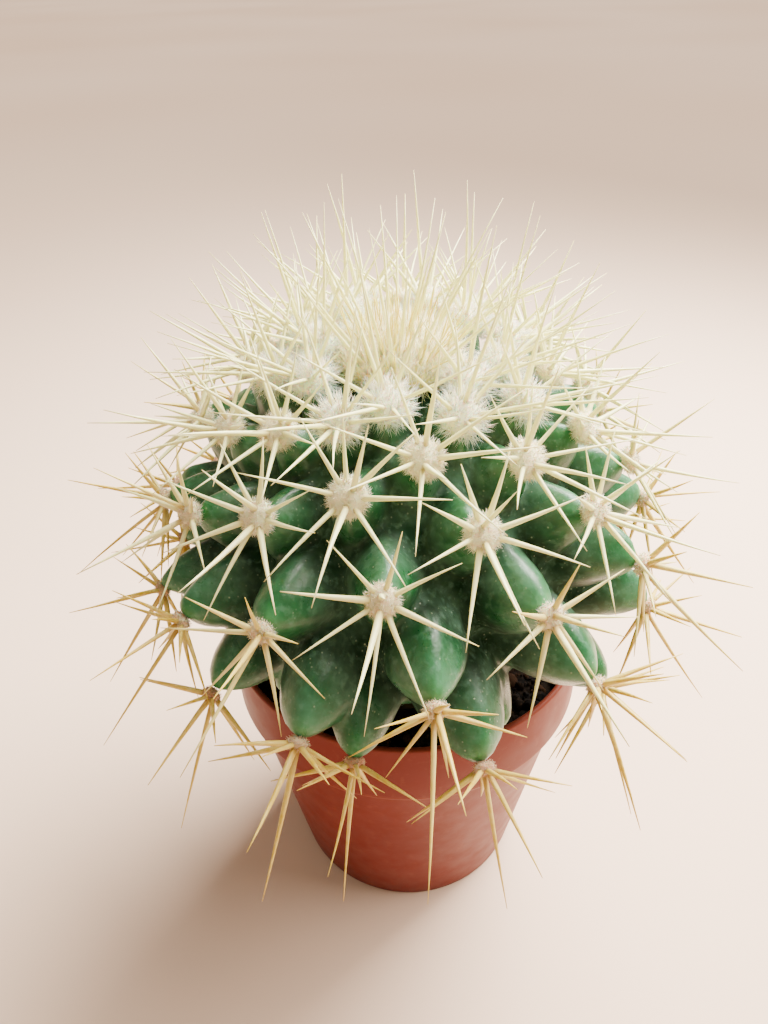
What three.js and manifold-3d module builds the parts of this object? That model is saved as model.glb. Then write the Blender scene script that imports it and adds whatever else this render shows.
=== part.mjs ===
// A young barrel cactus in a small plastic pot: pot, peat, green body, woolly crown and one
// felt cushion with its bunch of spines on every tubercle tip. Millimetres, +Z up, the front
// is -Y, and the pot stands on z = 0 round the Z axis.
import * as THREE from "three";
import { ConvexHull } from "three/addons/math/ConvexHull.js";
import { mergeVertices } from "three/addons/utils/BufferGeometryUtils.js";
import Module from "manifold-3d";

const wasm = await Module();
wasm.setup();

// Pot
const POT_HEIGHT = 50;
const RIM_RADIUS = 27.5;
const BASE_RADIUS = 20;
const BAND_HEIGHT = 11;
const BAND_STEP = 1.2;
const WALL = 0.9;
const FLOOR = 1.2;
const EDGE = 0.35;
const DRAIN_COUNT = 5;
const DRAIN_RADIUS = 2.6;
const DRAIN_RING = 12;
const POT_SIDES = 40;

// Peat
const SOIL_BELOW_RIM = 5.5;
const SOIL_MOUND = 0.8;
const SEAT_GAP = 0.3;

// Plant as a whole: it leans a little to the front and to the right
const LEAN = new THREE.Vector3(0.052, -0.073, 1).normalize();
const PLANT_X = -2.8;
const CENTRE_ABOVE_RIM = 15.8;
const AREOLE_REACH = 36.5;
const AREOLE_TOP = 32;
const AREOLE_UNDER = 8.8;
const LOPSIDED = 0.057;
const OVAL = -0.061;

// Core that the valleys reach, and the neck in the peat
const CORE_REACH = 26;
const CORE_TOP = 28;
const CORE_UNDER = 15;
const NECK_RADIUS = 17;
const NECK_DEPTH = 27;
const NECK_SIDES = 24;
const BLEND = 1.5;

// Spiral order of the areoles: n = 0 faces the front, and n grows towards the crown
const FRONT_AZIMUTH = 267.8;
const DIVERGENCE = 137.72;
const TWIST_SQUARE = -2.87;
const TWIST_CUBE = -1.55;
const TWIST_SPAN = 30;
const FRONT_POLAR = 54;
const POLAR_STEP = 1.3645;
const POLAR_EASE = 0.0099;
const LOWEST_TUBERCLE = -47;
const LOWEST_AREOLE = -34;
const FIRST_CROWN_AREOLE = 22;
const LAST_AREOLE = 37;

// Tubercles
const HUMP_WIDTH = 6.5;
const HUMP_NARROWING = 0.5;
const HUMP_DEPTH = 1.3;
const HUMP_POWER = 1.65;
const HUMP_LENGTH = 1.35;
const HUMP_HORIZON = 0.3;
const DROOP_MOST = 38;
const DROOP_SHIFT = 1.7;
const FACING_LOW = -38;
const FACING_FRONT = 37;
const FACING_EASE = 12;

// Felt cushions
const FELT_CLEAR = 0.35;
const FELT_SIDES = 7;
const FELT_BELT = 0.42;
const FELT_SUNK = 0.7;
const FELT_OLD = { radius: 1.25, height: 1.1 };
const FELT_YOUNG = { radius: 2.35, height: 2 };
const FELT_GROWTH = [-22, 18];
const FELT_SEAT = 0.8;

// Spines
const SPINE_RADIUS = 0.4;
const SLIM = 0.9;
const SPINE_SIDES = 3;
const SPINE_CLEAR = 0.3;
const SPINE_TRIES = 60;
const SPINE_CHECKS = [0.22, 0.3, 0.4, 0.5, 0.6, 0.7, 0.8, 0.9, 1];
const SPINE_BEND = 0.5;
const SHORTENED = 0.75;
const ERECT = [2, 34];
const GROWN_OLD = [-14, -2];
const ABOVE_GROUND = 2;
const RING = { length: 7.8, longerBelow: 3.8, longerInCrown: 2.6, polar: [66, 76], erect: 26 };
const RING_COUNT = { old: 7, grown: 8, young: 6, youngFrom: 28 };
const RING_JITTER = { turn: 0.18, length: [-0.8, 1.2] };
const OUTER_SPINE = { length: 13.5, longerWhenOld: 4.5, polar: [24, 36], turn: [-108, -72] };
const INNER_SPINE = { length: 12, longerInCrown: 3.5, polar: [14, 26], turn: [40, 120] };
const SEED = 5083;

// Wool of the crown
const WOOL_RINGS = [6, 13];
const WOOL_SIDES = 12;
const WOOL_REACH = 31.8;
const WOOL_EDGE = 0.9;
const WOOL_CHECKS = 60;
const ROOTS_REACH = 29.8;
const STRAND_RADIUS = 0.7;
const STRAND_STEP = 8;
const STRAND_SIDES = 4;
const TUFT_SPINES = 22;
const TUFT_POLAR = 11;
const TUFT_TILT = { inner: 4, spread: 38, jitter: 4 };
const TUFT_LENGTH = { inner: 11.5, spread: 6, jitter: 1.2 };

// Body mesh
const SKIN_SPACING = 2.2;
const FILL_POINTS = 9000;
const UNDERSIDE = -0.35;
const UNDERSIDE_COARSER = 2.2;
const HUMP_RING = { at: 0.62, count: 9, closer: 0.6 };
const NECK_RINGS = [0.22, 0.42];
const NECK_CLOSER = 0.3;

const radians = THREE.MathUtils.degToRad;
const GOLDEN_TURN = Math.PI * (3 - Math.sqrt(5));

// A repeatable source of numbers between 0 and 1.
function seeded(seed) {
  let state = seed >>> 0;
  return () => {
    state = (state + 0x6d2b79f5) >>> 0;
    let t = Math.imul(state ^ (state >>> 15), 1 | state);
    t = (t + Math.imul(t ^ (t >>> 7), 61 | t)) ^ t;
    return ((t ^ (t >>> 14)) >>> 0) / 4294967296;
  };
}

const random = seeded(SEED);
const within = (low, high) => low + (high - low) * random();

function solidOf(geometry) {
  const bare = geometry.clone();
  bare.deleteAttribute("normal");
  bare.deleteAttribute("uv");
  const welded = mergeVertices(bare, 1e-4);
  return new wasm.Manifold(
    new wasm.Mesh({
      numProp: 3,
      vertProperties: new Float32Array(welded.attributes.position.array),
      triVerts: new Uint32Array(welded.index.array),
    }),
  );
}

function geometryOf(solid) {
  const mesh = solid.getMesh();
  const geometry = new THREE.BufferGeometry();
  geometry.setAttribute("position", new THREE.BufferAttribute(mesh.vertProperties, 3));
  geometry.setIndex(new THREE.BufferAttribute(mesh.triVerts, 1));
  geometry.computeVertexNormals();
  return geometry;
}

function geometryFrom(points, triangles) {
  const geometry = new THREE.BufferGeometry();
  const flat = points.flatMap((p) => [p.x, p.y, p.z]);
  geometry.setAttribute("position", new THREE.Float32BufferAttribute(flat, 3));
  geometry.setIndex(triangles.flat());
  return geometry;
}

function lathe(profile, sides) {
  const section = profile.map(([r, z]) => new THREE.Vector2(r, z));
  return new THREE.LatheGeometry(section, sides).rotateX(Math.PI / 2);
}

// The largest body of a solid, without loose scraps.
function mainBody(solid) {
  return solid.decompose().reduce((a, b) => (a.volume() > b.volume() ? a : b));
}

// Radius and height of the felt cushion: large near the crown, small on the lowest tips.
function feltSize(n) {
  const young = THREE.MathUtils.smoothstep(n, ...FELT_GROWTH);
  return {
    radius: THREE.MathUtils.lerp(FELT_OLD.radius, FELT_YOUNG.radius, young),
    height: THREE.MathUtils.lerp(FELT_OLD.height, FELT_YOUNG.height, young),
  };
}

// Share of the mean breadth at a level direction: the body is a little oval and lopsided.
function breadth(x, y) {
  const level = Math.hypot(x, y) || 1;
  return 1 + (LOPSIDED * x) / level + (OVAL * (x * x - y * y)) / level ** 2;
}

// Reach of a tubercle's hump from the body's centre in a direction.
function humpReach(t, direction) {
  const ahead = direction.dot(t.top);
  if (ahead < HUMP_HORIZON) return 0;
  const scale = AREOLE_REACH / ahead / t.width;
  const across = direction.dot(t.side) * scale;
  const along = direction.dot(t.topUp) * scale;
  const far = Math.hypot(across, along / (along > 0 ? HUMP_LENGTH : t.downhill));
  return t.topReach - t.depth * far ** HUMP_POWER;
}

// Elevation in degrees that the spines of a lower tubercle face.
function lowFacing(n) {
  return FACING_LOW + (FACING_FRONT - FACING_LOW) * Math.exp(n / FACING_EASE);
}

// One tubercle, seen from the body's centre: the areole's place, the way its spines face, and
// the hump, whose top lies above the areole where the tubercle droops.
function tubercle(n) {
  const turn = n / TWIST_SPAN;
  const azimuth = radians(
    FRONT_AZIMUTH + DIVERGENCE * n + TWIST_SQUARE * turn ** 2 + TWIST_CUBE * turn ** 3,
  );
  const polar = radians(FRONT_POLAR - POLAR_STEP * n + POLAR_EASE * n * n);
  const out = new THREE.Vector3(Math.cos(azimuth), Math.sin(azimuth), 0);
  const side = new THREE.Vector3(-out.y, out.x, 0);
  const rise = (polar < Math.PI / 2 ? AREOLE_TOP : AREOLE_UNDER) * Math.cos(polar);
  const level = AREOLE_REACH * breadth(out.x, out.y) * Math.sin(polar);
  const place = out.clone().multiplyScalar(level).setZ(rise);
  const felt = feltSize(n);
  const reach = place.length() - felt.height * FELT_SUNK;
  const aim = place.normalize();
  const up = aim.clone().cross(side);
  const elevation = Math.asin(aim.z);
  const facing = n < 0 ? radians(lowFacing(n)) : elevation;
  const droop = Math.min(Math.max(0, elevation - facing), radians(DROOP_MOST));
  const shift = (DROOP_SHIFT * droop) / radians(DROOP_MOST);
  const width = HUMP_WIDTH * Math.sin(polar) ** HUMP_NARROWING;
  const top = aim.clone().addScaledVector(up, shift / reach).normalize();
  const t = {
    n,
    aim,
    side,
    felt,
    width,
    top,
    axis: aim.clone().applyAxisAngle(side, droop),
    axisUp: up.clone().applyAxisAngle(side, droop),
    topUp: top.clone().cross(side).normalize(),
    seat: Math.min(FELT_SEAT * felt.radius, width / 2),
    depth: HUMP_DEPTH * width,
    downhill: THREE.MathUtils.lerp(HUMP_LENGTH, 1, droop / radians(DROOP_MOST)),
    topReach: 0,
  };
  t.topReach = reach - humpReach(t, aim);
  return t;
}

const tubercles = [];
for (let n = LOWEST_TUBERCLE; n <= LAST_AREOLE; n++) tubercles.push(tubercle(n));
const withAreole = tubercles.filter((t) => t.n >= LOWEST_AREOLE);

// Reach of the spheroid core and of the neck below it.
function coreReach(direction) {
  const level = Math.hypot(direction.x, direction.y);
  const half = direction.z < 0 ? CORE_UNDER : CORE_TOP;
  const wide = CORE_REACH * breadth(direction.x, direction.y);
  const core = 1 / Math.hypot(level / wide, direction.z / half);
  if (direction.z >= 0) return core;
  return Math.max(core, Math.min(NECK_RADIUS / level, NECK_DEPTH / -direction.z));
}

// Reach of the skin: the highest of the core and all humps, with soft creases.
function skinReach(direction) {
  const all = tubercles.map((t) => humpReach(t, direction));
  all.push(coreReach(direction));
  const most = Math.max(...all);
  return most + Math.log(all.reduce((sum, r) => sum + Math.exp(BLEND * (r - most)), 0)) / BLEND;
}

function onSkin(direction, clear = 0) {
  return direction.clone().multiplyScalar(skinReach(direction) + clear);
}

// Directions of a ring round an areole, as seen from the body's centre.
function ringRound(t, radius, count) {
  const up = t.aim.clone().cross(t.side);
  return Array.from({ length: count }, (_, k) => {
    const turn = (2 * Math.PI * k) / count;
    return t.aim
      .clone()
      .addScaledVector(t.side, (Math.cos(turn) * radius) / AREOLE_REACH)
      .addScaledVector(up, (Math.sin(turn) * radius) / AREOLE_REACH)
      .normalize();
  });
}

// Unit vector at an azimuth and at a polar angle from +Z.
function towards(azimuth, polar) {
  return new THREE.Vector3(Math.cos(azimuth), Math.sin(azimuth), 0)
    .multiplyScalar(Math.sin(polar))
    .setZ(Math.cos(polar));
}

function polarRing(polar, count) {
  return Array.from({ length: count }, (_, k) => towards((2 * Math.PI * k) / count, polar));
}

// Body: directions spread over a sphere, joined as its convex hull, then pushed out to the skin.
function bodyGeometry() {
  const spots = [];
  const spacing = (d) => (SKIN_SPACING / AREOLE_REACH) * (d.z < UNDERSIDE ? UNDERSIDE_COARSER : 1);
  const add = (directions, share) => {
    for (const d of directions)
      if (spots.every((s) => s.distanceTo(d) > share * spacing(d))) spots.push(d);
  };
  spots.push(...withAreole.flatMap((t) => [t.aim, ...ringRound(t, t.seat, FELT_SIDES)]));
  const corner = Math.PI - Math.atan2(NECK_RADIUS, NECK_DEPTH);
  spots.push(new THREE.Vector3(0, 0, -1), ...polarRing(corner, NECK_SIDES));
  for (const rise of NECK_RINGS) add(polarRing(corner - rise, NECK_SIDES), NECK_CLOSER);
  for (const t of tubercles)
    add(ringRound(t, HUMP_RING.at * t.width, HUMP_RING.count), HUMP_RING.closer);
  const fill = Array.from({ length: FILL_POINTS }, (_, k) =>
    towards(GOLDEN_TURN * k, Math.acos(1 - (2 * k + 1) / FILL_POINTS)),
  );
  add(fill.filter((d) => Math.acos(d.z) < corner), 1);
  const order = new Map(spots.map((d, i) => [d, i]));
  const hull = new ConvexHull().setFromPoints(spots);
  const triangles = hull.faces.map((f) => {
    const edge = f.edge;
    return [edge, edge.next, edge.next.next].map((e) => order.get(e.head().point));
  });
  return geometryFrom(spots.map((d) => onSkin(d)), triangles);
}

// A felt cushion on a tubercle's tip: its underside follows the skin with a small gap.
function feltGeometry(t) {
  const foot = onSkin(t.aim, FELT_CLEAR);
  const ring = ringRound(t, t.seat, FELT_SIDES).map((d) => onSkin(d, FELT_CLEAR));
  const belt = ring.map((_, k) => {
    const turn = (2 * Math.PI * k) / FELT_SIDES;
    return foot
      .clone()
      .addScaledVector(t.axis, FELT_BELT * t.felt.height)
      .addScaledVector(t.side, Math.cos(turn) * t.felt.radius)
      .addScaledVector(t.axisUp, Math.sin(turn) * t.felt.radius);
  });
  const crest = foot.clone().addScaledVector(t.axis, t.felt.height);
  const triangles = ring.flatMap((_, k) => {
    const a = 1 + k;
    const b = 1 + ((k + 1) % FELT_SIDES);
    const high = FELT_SIDES;
    return [
      [0, b, a],
      [a, b, b + high],
      [a, b + high, a + high],
      [a + high, b + high, 2 * high + 1],
    ];
  });
  return geometryFrom([foot, ...ring, ...belt, crest], triangles);
}

// Lays a shape that is centred on +Y from one point to another.
function laidBetween(from, to, shape) {
  const along = to.clone().sub(from);
  const length = along.length();
  const turn = new THREE.Quaternion().setFromUnitVectors(
    new THREE.Vector3(0, 1, 0),
    along.divideScalar(length),
  );
  return shape(length)
    .translate(0, length / 2, 0)
    .applyQuaternion(turn)
    .translate(from.x, from.y, from.z);
}

// A straight spine from its root to its tip.
function spineGeometry({ root, tip, radius }) {
  return laidBetween(
    root,
    tip,
    (length) => new THREE.ConeGeometry(radius, length, SPINE_SIDES, 1),
  );
}

// Closest distance between two tapered spines, less their radii where they are closest.
function spineClearance(a, b) {
  const u = a.tip.clone().sub(a.root);
  const v = b.tip.clone().sub(b.root);
  const w = a.root.clone().sub(b.root);
  const [uu, uv, vv, uw, vw] = [u.dot(u), u.dot(v), v.dot(v), u.dot(w), v.dot(w)];
  const clamp = (x) => Math.min(1, Math.max(0, x));
  let s = clamp((uv * vw - vv * uw) / Math.max(uu * vv - uv * uv, 1e-9));
  const t = clamp((uv * s + vw) / vv);
  s = clamp((uv * t - uw) / uu);
  const gap = w.addScaledVector(u, s).addScaledVector(v, -t).length();
  return gap - a.radius * (1 - s) - b.radius * (1 - t);
}

function clearOfCushion(spine, ball) {
  const line = new THREE.Line3(spine.root, spine.tip);
  const near = line.closestPointToPoint(ball.centre, true, new THREE.Vector3());
  return near.distanceTo(ball.centre) > ball.radius + spine.radius + SPINE_CLEAR;
}

// The plant's own frame, at the rim's level, placed in the pot's frame.
const plantTurn = new THREE.Quaternion().setFromUnitVectors(new THREE.Vector3(0, 0, 1), LEAN);
const plantMatrix = new THREE.Matrix4()
  .makeRotationFromQuaternion(plantTurn)
  .setPosition(PLANT_X, 0, POT_HEIGHT)
  .multiply(new THREE.Matrix4().makeTranslation(0, 0, CENTRE_ABOVE_RIM));

// True where a spine stays off the skin and the pot.
function clearOfBody(spine) {
  return SPINE_CHECKS.every((s) => {
    const p = spine.root.clone().lerp(spine.tip, s);
    const margin = SPINE_CLEAR + spine.radius * (1 - s) + 0.1;
    if (p.length() < skinReach(p.clone().normalize()) + margin) return false;
    const world = p.applyMatrix4(plantMatrix);
    const outside = Math.hypot(world.x, world.y) > RIM_RADIUS + 1 || world.z > POT_HEIGHT + 1;
    return outside && world.z > ABOVE_GROUND;
  });
}

// What is in place so far, for keeping the spines of different nodes apart.
const placed = { spines: [], balls: [] };

function isClear(spine, node) {
  return (
    placed.balls.every((b) => b.node === node || clearOfCushion(spine, b)) &&
    placed.spines.every((s) => s.node === node || spineClearance(s, spine) > SPINE_CLEAR) &&
    clearOfBody(spine)
  );
}

// Bends a spine a little further on each try, and shortens it late, until it is clear.
function placeSpine(node, root, aimAt, length, radius) {
  for (let k = 0; k < SPINE_TRIES; k++) {
    const bend = radians(SPINE_BEND * k);
    const away = new THREE.Vector3(within(-1, 1), within(-1, 1), within(-1, 1));
    const aim = aimAt.clone().addScaledVector(away, Math.tan(bend)).normalize();
    const reach = length * (k < SPINE_TRIES / 2 ? 1 : SHORTENED);
    const spine = { node, root, radius, tip: root.clone().addScaledVector(aim, reach) };
    if (isClear(spine, node)) {
      placed.spines.push(spine);
      return spine;
    }
  }
  return null;
}

// Spines of one areole: a ring that lies low and longer, steeper ones in the middle.
function spinesOf(t, node) {
  const crown = THREE.MathUtils.smoothstep(t.n, ...ERECT);
  const old = 1 - THREE.MathUtils.smoothstep(t.n, ...GROWN_OLD);
  const seat = onSkin(t.aim, FELT_CLEAR).addScaledVector(t.axis, FELT_BELT * t.felt.height);
  const splayed = (turn, polar) =>
    t.side
      .clone()
      .multiplyScalar(Math.cos(turn))
      .addScaledVector(t.axisUp, Math.sin(turn))
      .multiplyScalar(Math.sin(polar))
      .addScaledVector(t.axis, Math.cos(polar));
  const spines = [];
  const add = (turn, polar, length, radius) => {
    const root = seat.clone().addScaledVector(splayed(turn, Math.PI / 2), t.felt.radius / 4);
    spines.push(placeSpine(node, root, splayed(turn, radians(polar)), length, radius));
  };
  const grown = t.n < 0 ? RING_COUNT.old : RING_COUNT.grown;
  const count = t.n < RING_COUNT.youngFrom ? grown : RING_COUNT.young;
  const start = within(0, 2 * Math.PI);
  for (let k = 0; k < count; k++) {
    const shift = within(-RING_JITTER.turn, RING_JITTER.turn);
    const turn = start + ((k + shift) * 2 * Math.PI) / count;
    const below = (1 - Math.sin(turn)) / 2;
    const length = RING.length + RING.longerBelow * below + RING.longerInCrown * crown;
    const polar = within(...RING.polar) - RING.erect * crown;
    add(turn, polar, length + within(...RING_JITTER.length), SLIM * SPINE_RADIUS);
  }
  const outer = OUTER_SPINE.length + OUTER_SPINE.longerWhenOld * old;
  add(radians(within(...OUTER_SPINE.turn)), within(...OUTER_SPINE.polar), outer, SPINE_RADIUS);
  const inner = INNER_SPINE.length + INNER_SPINE.longerInCrown * crown;
  add(radians(within(...INNER_SPINE.turn)), within(...INNER_SPINE.polar), inner, SPINE_RADIUS);
  return spines.filter(Boolean);
}

// Middle of an areole's felt cushion.
function feltHeart(t) {
  return onSkin(t.aim, FELT_CLEAR).addScaledVector(t.axis, t.felt.height / 2);
}

function fused(cushion, spines) {
  return spines.reduce((whole, s) => whole.add(solidOf(spineGeometry(s))), cushion);
}

// Dome of wool over the youngest part of the crown, clear of every hump under it.
function woolGeometry() {
  const shell = (reaches) => [
    new THREE.Vector3(0, 0, reaches[0]),
    ...WOOL_RINGS.flatMap((polar, k) =>
      polarRing(radians(polar), WOOL_SIDES).map((d) => d.multiplyScalar(reaches[k + 1])),
    ),
  ];
  const under = [0, ...WOOL_RINGS].map(
    (polar) => FELT_CLEAR + Math.max(...polarRing(radians(polar), WOOL_CHECKS).map(skinReach)),
  );
  const low = shell(under);
  const high = shell([WOOL_REACH, WOOL_REACH, under[2] + WOOL_EDGE]);
  const count = low.length;
  const triangles = [];
  for (let k = 0; k < WOOL_SIDES; k++) {
    const [a, b] = [1 + k, 1 + ((k + 1) % WOOL_SIDES)];
    const [c, d] = [a + WOOL_SIDES, b + WOOL_SIDES];
    const sheet = [
      [0, a, b],
      [a, c, b],
      [b, c, d],
    ];
    triangles.push(...sheet.map(([p, q, r]) => [p + count, q + count, r + count]));
    triangles.push(...sheet.map(([p, q, r]) => [p, r, q]));
    triangles.push([c, d, d + count], [c, d + count, c + count]);
  }
  return geometryFrom([...low, ...high], triangles);
}

// A strand of wool that ties a crown areole to the next one inwards, or to the dome.
function strandGeometry(t) {
  const inner = tubercles.find((s) => s.n === t.n + STRAND_STEP);
  const from = feltHeart(t);
  const to = inner
    ? feltHeart(inner)
    : towards(Math.atan2(t.aim.y, t.aim.x), radians(WOOL_RINGS[0])).setLength(ROOTS_REACH);
  return laidBetween(
    from,
    to,
    (length) => new THREE.CylinderGeometry(STRAND_RADIUS, STRAND_RADIUS, length, STRAND_SIDES),
  );
}

// Upright young spines of the tuft in the middle of the crown.
function tuftSpines() {
  const spines = [];
  for (let k = 0; k < TUFT_SPINES; k++) {
    const share = Math.sqrt((k + 0.5) / TUFT_SPINES);
    const tilt = TUFT_TILT.inner + TUFT_TILT.spread * share;
    const aim = towards(GOLDEN_TURN * k, radians(tilt + TUFT_TILT.jitter * within(-1, 1)));
    const root = towards(GOLDEN_TURN * k, radians(TUFT_POLAR * share)).setLength(ROOTS_REACH);
    const length = TUFT_LENGTH.inner + TUFT_LENGTH.spread * share;
    const varied = length + TUFT_LENGTH.jitter * within(-1, 1);
    spines.push(placeSpine("crown", root, aim, varied, SPINE_RADIUS));
  }
  return spines.filter(Boolean);
}

// Pot: tapering wall, rim band, and a flat floor with drain holes.
function potSolid() {
  const slope = (RIM_RADIUS - BAND_STEP - BASE_RADIUS) / (POT_HEIGHT - BAND_HEIGHT);
  const underBand = POT_HEIGHT - BAND_HEIGHT;
  const atBand = RIM_RADIUS - BAND_STEP;
  const profile = [
    [0, 0],
    [BASE_RADIUS - EDGE, 0],
    [BASE_RADIUS + EDGE * slope, EDGE],
    [atBand, underBand],
    [RIM_RADIUS - EDGE, underBand],
    [RIM_RADIUS, underBand + EDGE],
    [RIM_RADIUS, POT_HEIGHT - EDGE],
    [RIM_RADIUS - EDGE, POT_HEIGHT],
    [RIM_RADIUS - WALL, POT_HEIGHT],
    [RIM_RADIUS - WALL, underBand + WALL],
    [atBand - WALL, underBand],
    [BASE_RADIUS - WALL, FLOOR],
    [0, FLOOR],
  ];
  let pot = solidOf(lathe(profile, POT_SIDES));
  for (let k = 0; k < DRAIN_COUNT; k++) {
    const turn = (2 * Math.PI * (k + 0.5)) / DRAIN_COUNT;
    const drain = new THREE.CylinderGeometry(DRAIN_RADIUS, DRAIN_RADIUS, 4 * FLOOR, 12)
      .rotateX(Math.PI / 2)
      .translate(DRAIN_RING * Math.cos(turn), DRAIN_RING * Math.sin(turn), 0);
    pot = pot.subtract(solidOf(drain));
  }
  return pot;
}

// Peat: fills the pot below the rim and has a plain hole for the neck.
function soilSolid() {
  const floor = FLOOR + SEAT_GAP;
  const underBand = POT_HEIGHT - BAND_HEIGHT;
  const atBand = RIM_RADIUS - BAND_STEP - WALL - SEAT_GAP;
  const level = POT_HEIGHT - SOIL_BELOW_RIM;
  const profile = [
    [0, floor],
    [BASE_RADIUS - WALL - SEAT_GAP, floor],
    [atBand, underBand],
    [RIM_RADIUS - WALL - SEAT_GAP, underBand + WALL],
    [RIM_RADIUS - WALL - SEAT_GAP, level],
    [NECK_RADIUS + 4, level + SOIL_MOUND],
    [0, level + SOIL_MOUND],
  ];
  const depth = NECK_DEPTH + SEAT_GAP;
  const hole = new THREE.CylinderGeometry(
    NECK_RADIUS + SEAT_GAP,
    NECK_RADIUS + SEAT_GAP,
    depth,
    NECK_SIDES,
  )
    .rotateX(Math.PI / 2)
    .rotateZ(Math.PI / 2)
    .translate(0, 0, -depth / 2)
    .applyMatrix4(plantMatrix);
  return solidOf(lathe(profile, POT_SIDES)).subtract(solidOf(hole));
}

const plastic = new THREE.MeshStandardMaterial({ color: 0xa65c46, roughness: 0.55, metalness: 0 });
const peat = new THREE.MeshStandardMaterial({ color: 0x2b2119, roughness: 0.95, metalness: 0 });
const skin = new THREE.MeshStandardMaterial({ color: 0x2f5f3a, roughness: 0.38, metalness: 0 });
const felt = new THREE.MeshStandardMaterial({ color: 0xe6dcc4, roughness: 0.85, metalness: 0 });
const wool = new THREE.MeshStandardMaterial({ color: 0xe9e2c6, roughness: 0.85, metalness: 0 });

const group = new THREE.Group();
const addMesh = (name, geometry, material) => {
  const mesh = new THREE.Mesh(geometry, material);
  mesh.name = name;
  group.add(mesh);
};

addMesh("pot", geometryOf(potSolid()), plastic);
addMesh("soil", geometryOf(soilSolid()), peat);
addMesh("cactus_body", bodyGeometry().applyMatrix4(plantMatrix), skin);

const nodeOf = (t) =>
  t.n < FIRST_CROWN_AREOLE ? `areole_${t.n - LOWEST_AREOLE + 1}` : "crown";
for (const t of withAreole)
  placed.balls.push({ node: nodeOf(t), centre: feltHeart(t), radius: t.felt.radius });
let crown = solidOf(woolGeometry());
for (const t of withAreole) {
  const node = nodeOf(t);
  const whole = fused(solidOf(feltGeometry(t)), spinesOf(t, node));
  if (node === "crown") crown = crown.add(whole).add(solidOf(strandGeometry(t)));
  else addMesh(node, geometryOf(mainBody(whole)).applyMatrix4(plantMatrix), felt);
}
crown = fused(crown, tuftSpines());
addMesh("crown", geometryOf(mainBody(crown)).applyMatrix4(plantMatrix), wool);

export default group;
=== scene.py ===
"""Dressed scene of a young golden barrel cactus in a small plastic pot.

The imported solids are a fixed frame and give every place. The fine skin, spines, felt, wool,
peat and pot wall are grown round them, and a camera, a pale floor and soft light are added.
Sizes in the classes are millimetres, angles are degrees, and the meshes are in metres.
"""

import logging
import math
from collections.abc import Callable, Iterable, Mapping, Sequence
from dataclasses import dataclass, field
from enum import Enum, IntEnum

import bmesh
import bpy
import numpy as np
from mathutils import Matrix, Vector, noise


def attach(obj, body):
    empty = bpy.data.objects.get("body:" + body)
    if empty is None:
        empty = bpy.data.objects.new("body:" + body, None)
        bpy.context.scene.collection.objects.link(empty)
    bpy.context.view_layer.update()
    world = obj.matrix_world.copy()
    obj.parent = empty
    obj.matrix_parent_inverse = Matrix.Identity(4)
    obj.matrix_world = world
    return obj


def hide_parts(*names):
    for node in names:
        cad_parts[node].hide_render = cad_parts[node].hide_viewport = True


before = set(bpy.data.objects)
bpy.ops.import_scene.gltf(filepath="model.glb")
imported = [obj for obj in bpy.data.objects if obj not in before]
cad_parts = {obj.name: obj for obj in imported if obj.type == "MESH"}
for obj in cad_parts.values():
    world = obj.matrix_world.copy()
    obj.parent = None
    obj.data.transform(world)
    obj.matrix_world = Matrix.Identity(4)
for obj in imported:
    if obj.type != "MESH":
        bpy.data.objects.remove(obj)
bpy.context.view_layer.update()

log = logging.getLogger("cactus")

Array = np.ndarray
Mesh = bpy.types.Mesh
Piece = bpy.types.Object
Socket = bpy.types.NodeSocket
Tree = bpy.types.NodeTree
# What an input of a node gets.
Wire = Socket | float

# A pattern starts at the first value and is full at the second. It shows from the third share
# to the fourth, or from none to all.
Limits = tuple[float, ...]
# Soft patches: the width of one in millimetres, how many finer octaves they have, and limits.
Patches = tuple[float, int, Limits]
# Places and sRGB colours of a colour ramp.
Stops = tuple[tuple[float, str], ...]

MM = 0.001
GOLDEN_TURN = math.pi * (3 - math.sqrt(5))
UP = np.array([0, 0, 1.0])
# Keeps divisions from failing at the axis.
TINY = 1e-9
# The value that noise lies round.
MEAN = 0.5
# Numbers of the sockets that share their names with others: of a mix of two colours, and
# of a random draw of one number.
BELOW, ABOVE, MIXED = 6, 7, 2
LEAST, MOST, SEED, DRAWN = 2, 3, 8, 1


class Slot(Enum):
    """Names of the record's material slots."""

    POT = "pot_plastic"
    PEAT = "peat"
    SKIN = "cactus_skin"
    FELT = "felt_and_spines"
    WOOL = "wool_and_young_spines"


class Node(Enum):
    """Types of the nodes that the trees are made of."""

    MATH = "ShaderNodeMath"
    VECTOR = "ShaderNodeVectorMath"
    RANGE = "ShaderNodeMapRange"
    RAMP = "ShaderNodeValToRGB"
    NOISE = "ShaderNodeTexNoise"
    CELLS = "ShaderNodeTexVoronoi"
    PLACE = "ShaderNodeTexCoord"
    CARRIED = "ShaderNodeAttribute"
    MIX = "ShaderNodeMix"
    BUMP = "ShaderNodeBump"
    COMBINE = "ShaderNodeCombineXYZ"
    SEPARATE = "ShaderNodeSeparateXYZ"
    CHANCE = "FunctionNodeRandomValue"
    ALIGN = "FunctionNodeAlignRotationToVector"
    NAMED = "GeometryNodeInputNamedAttribute"
    POSITION = "GeometryNodeInputPosition"
    NORMAL = "GeometryNodeInputNormal"
    OBJECT = "GeometryNodeObjectInfo"
    COUNT = "GeometryNodeAttributeDomainSize"
    SAMPLE = "GeometryNodeSampleIndex"
    STORE = "GeometryNodeStoreNamedAttribute"
    MOVE = "GeometryNodeSetPosition"
    SCATTER = "GeometryNodeDistributePointsOnFaces"
    INSTANCE = "GeometryNodeInstanceOnPoints"
    REALIZE = "GeometryNodeRealizeInstances"
    SMOOTH = "GeometryNodeSetShadeSmooth"
    DRESS = "GeometryNodeSetMaterial"
    CONE = "GeometryNodeMeshCone"
    BALL = "GeometryNodeMeshIcoSphere"


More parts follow.
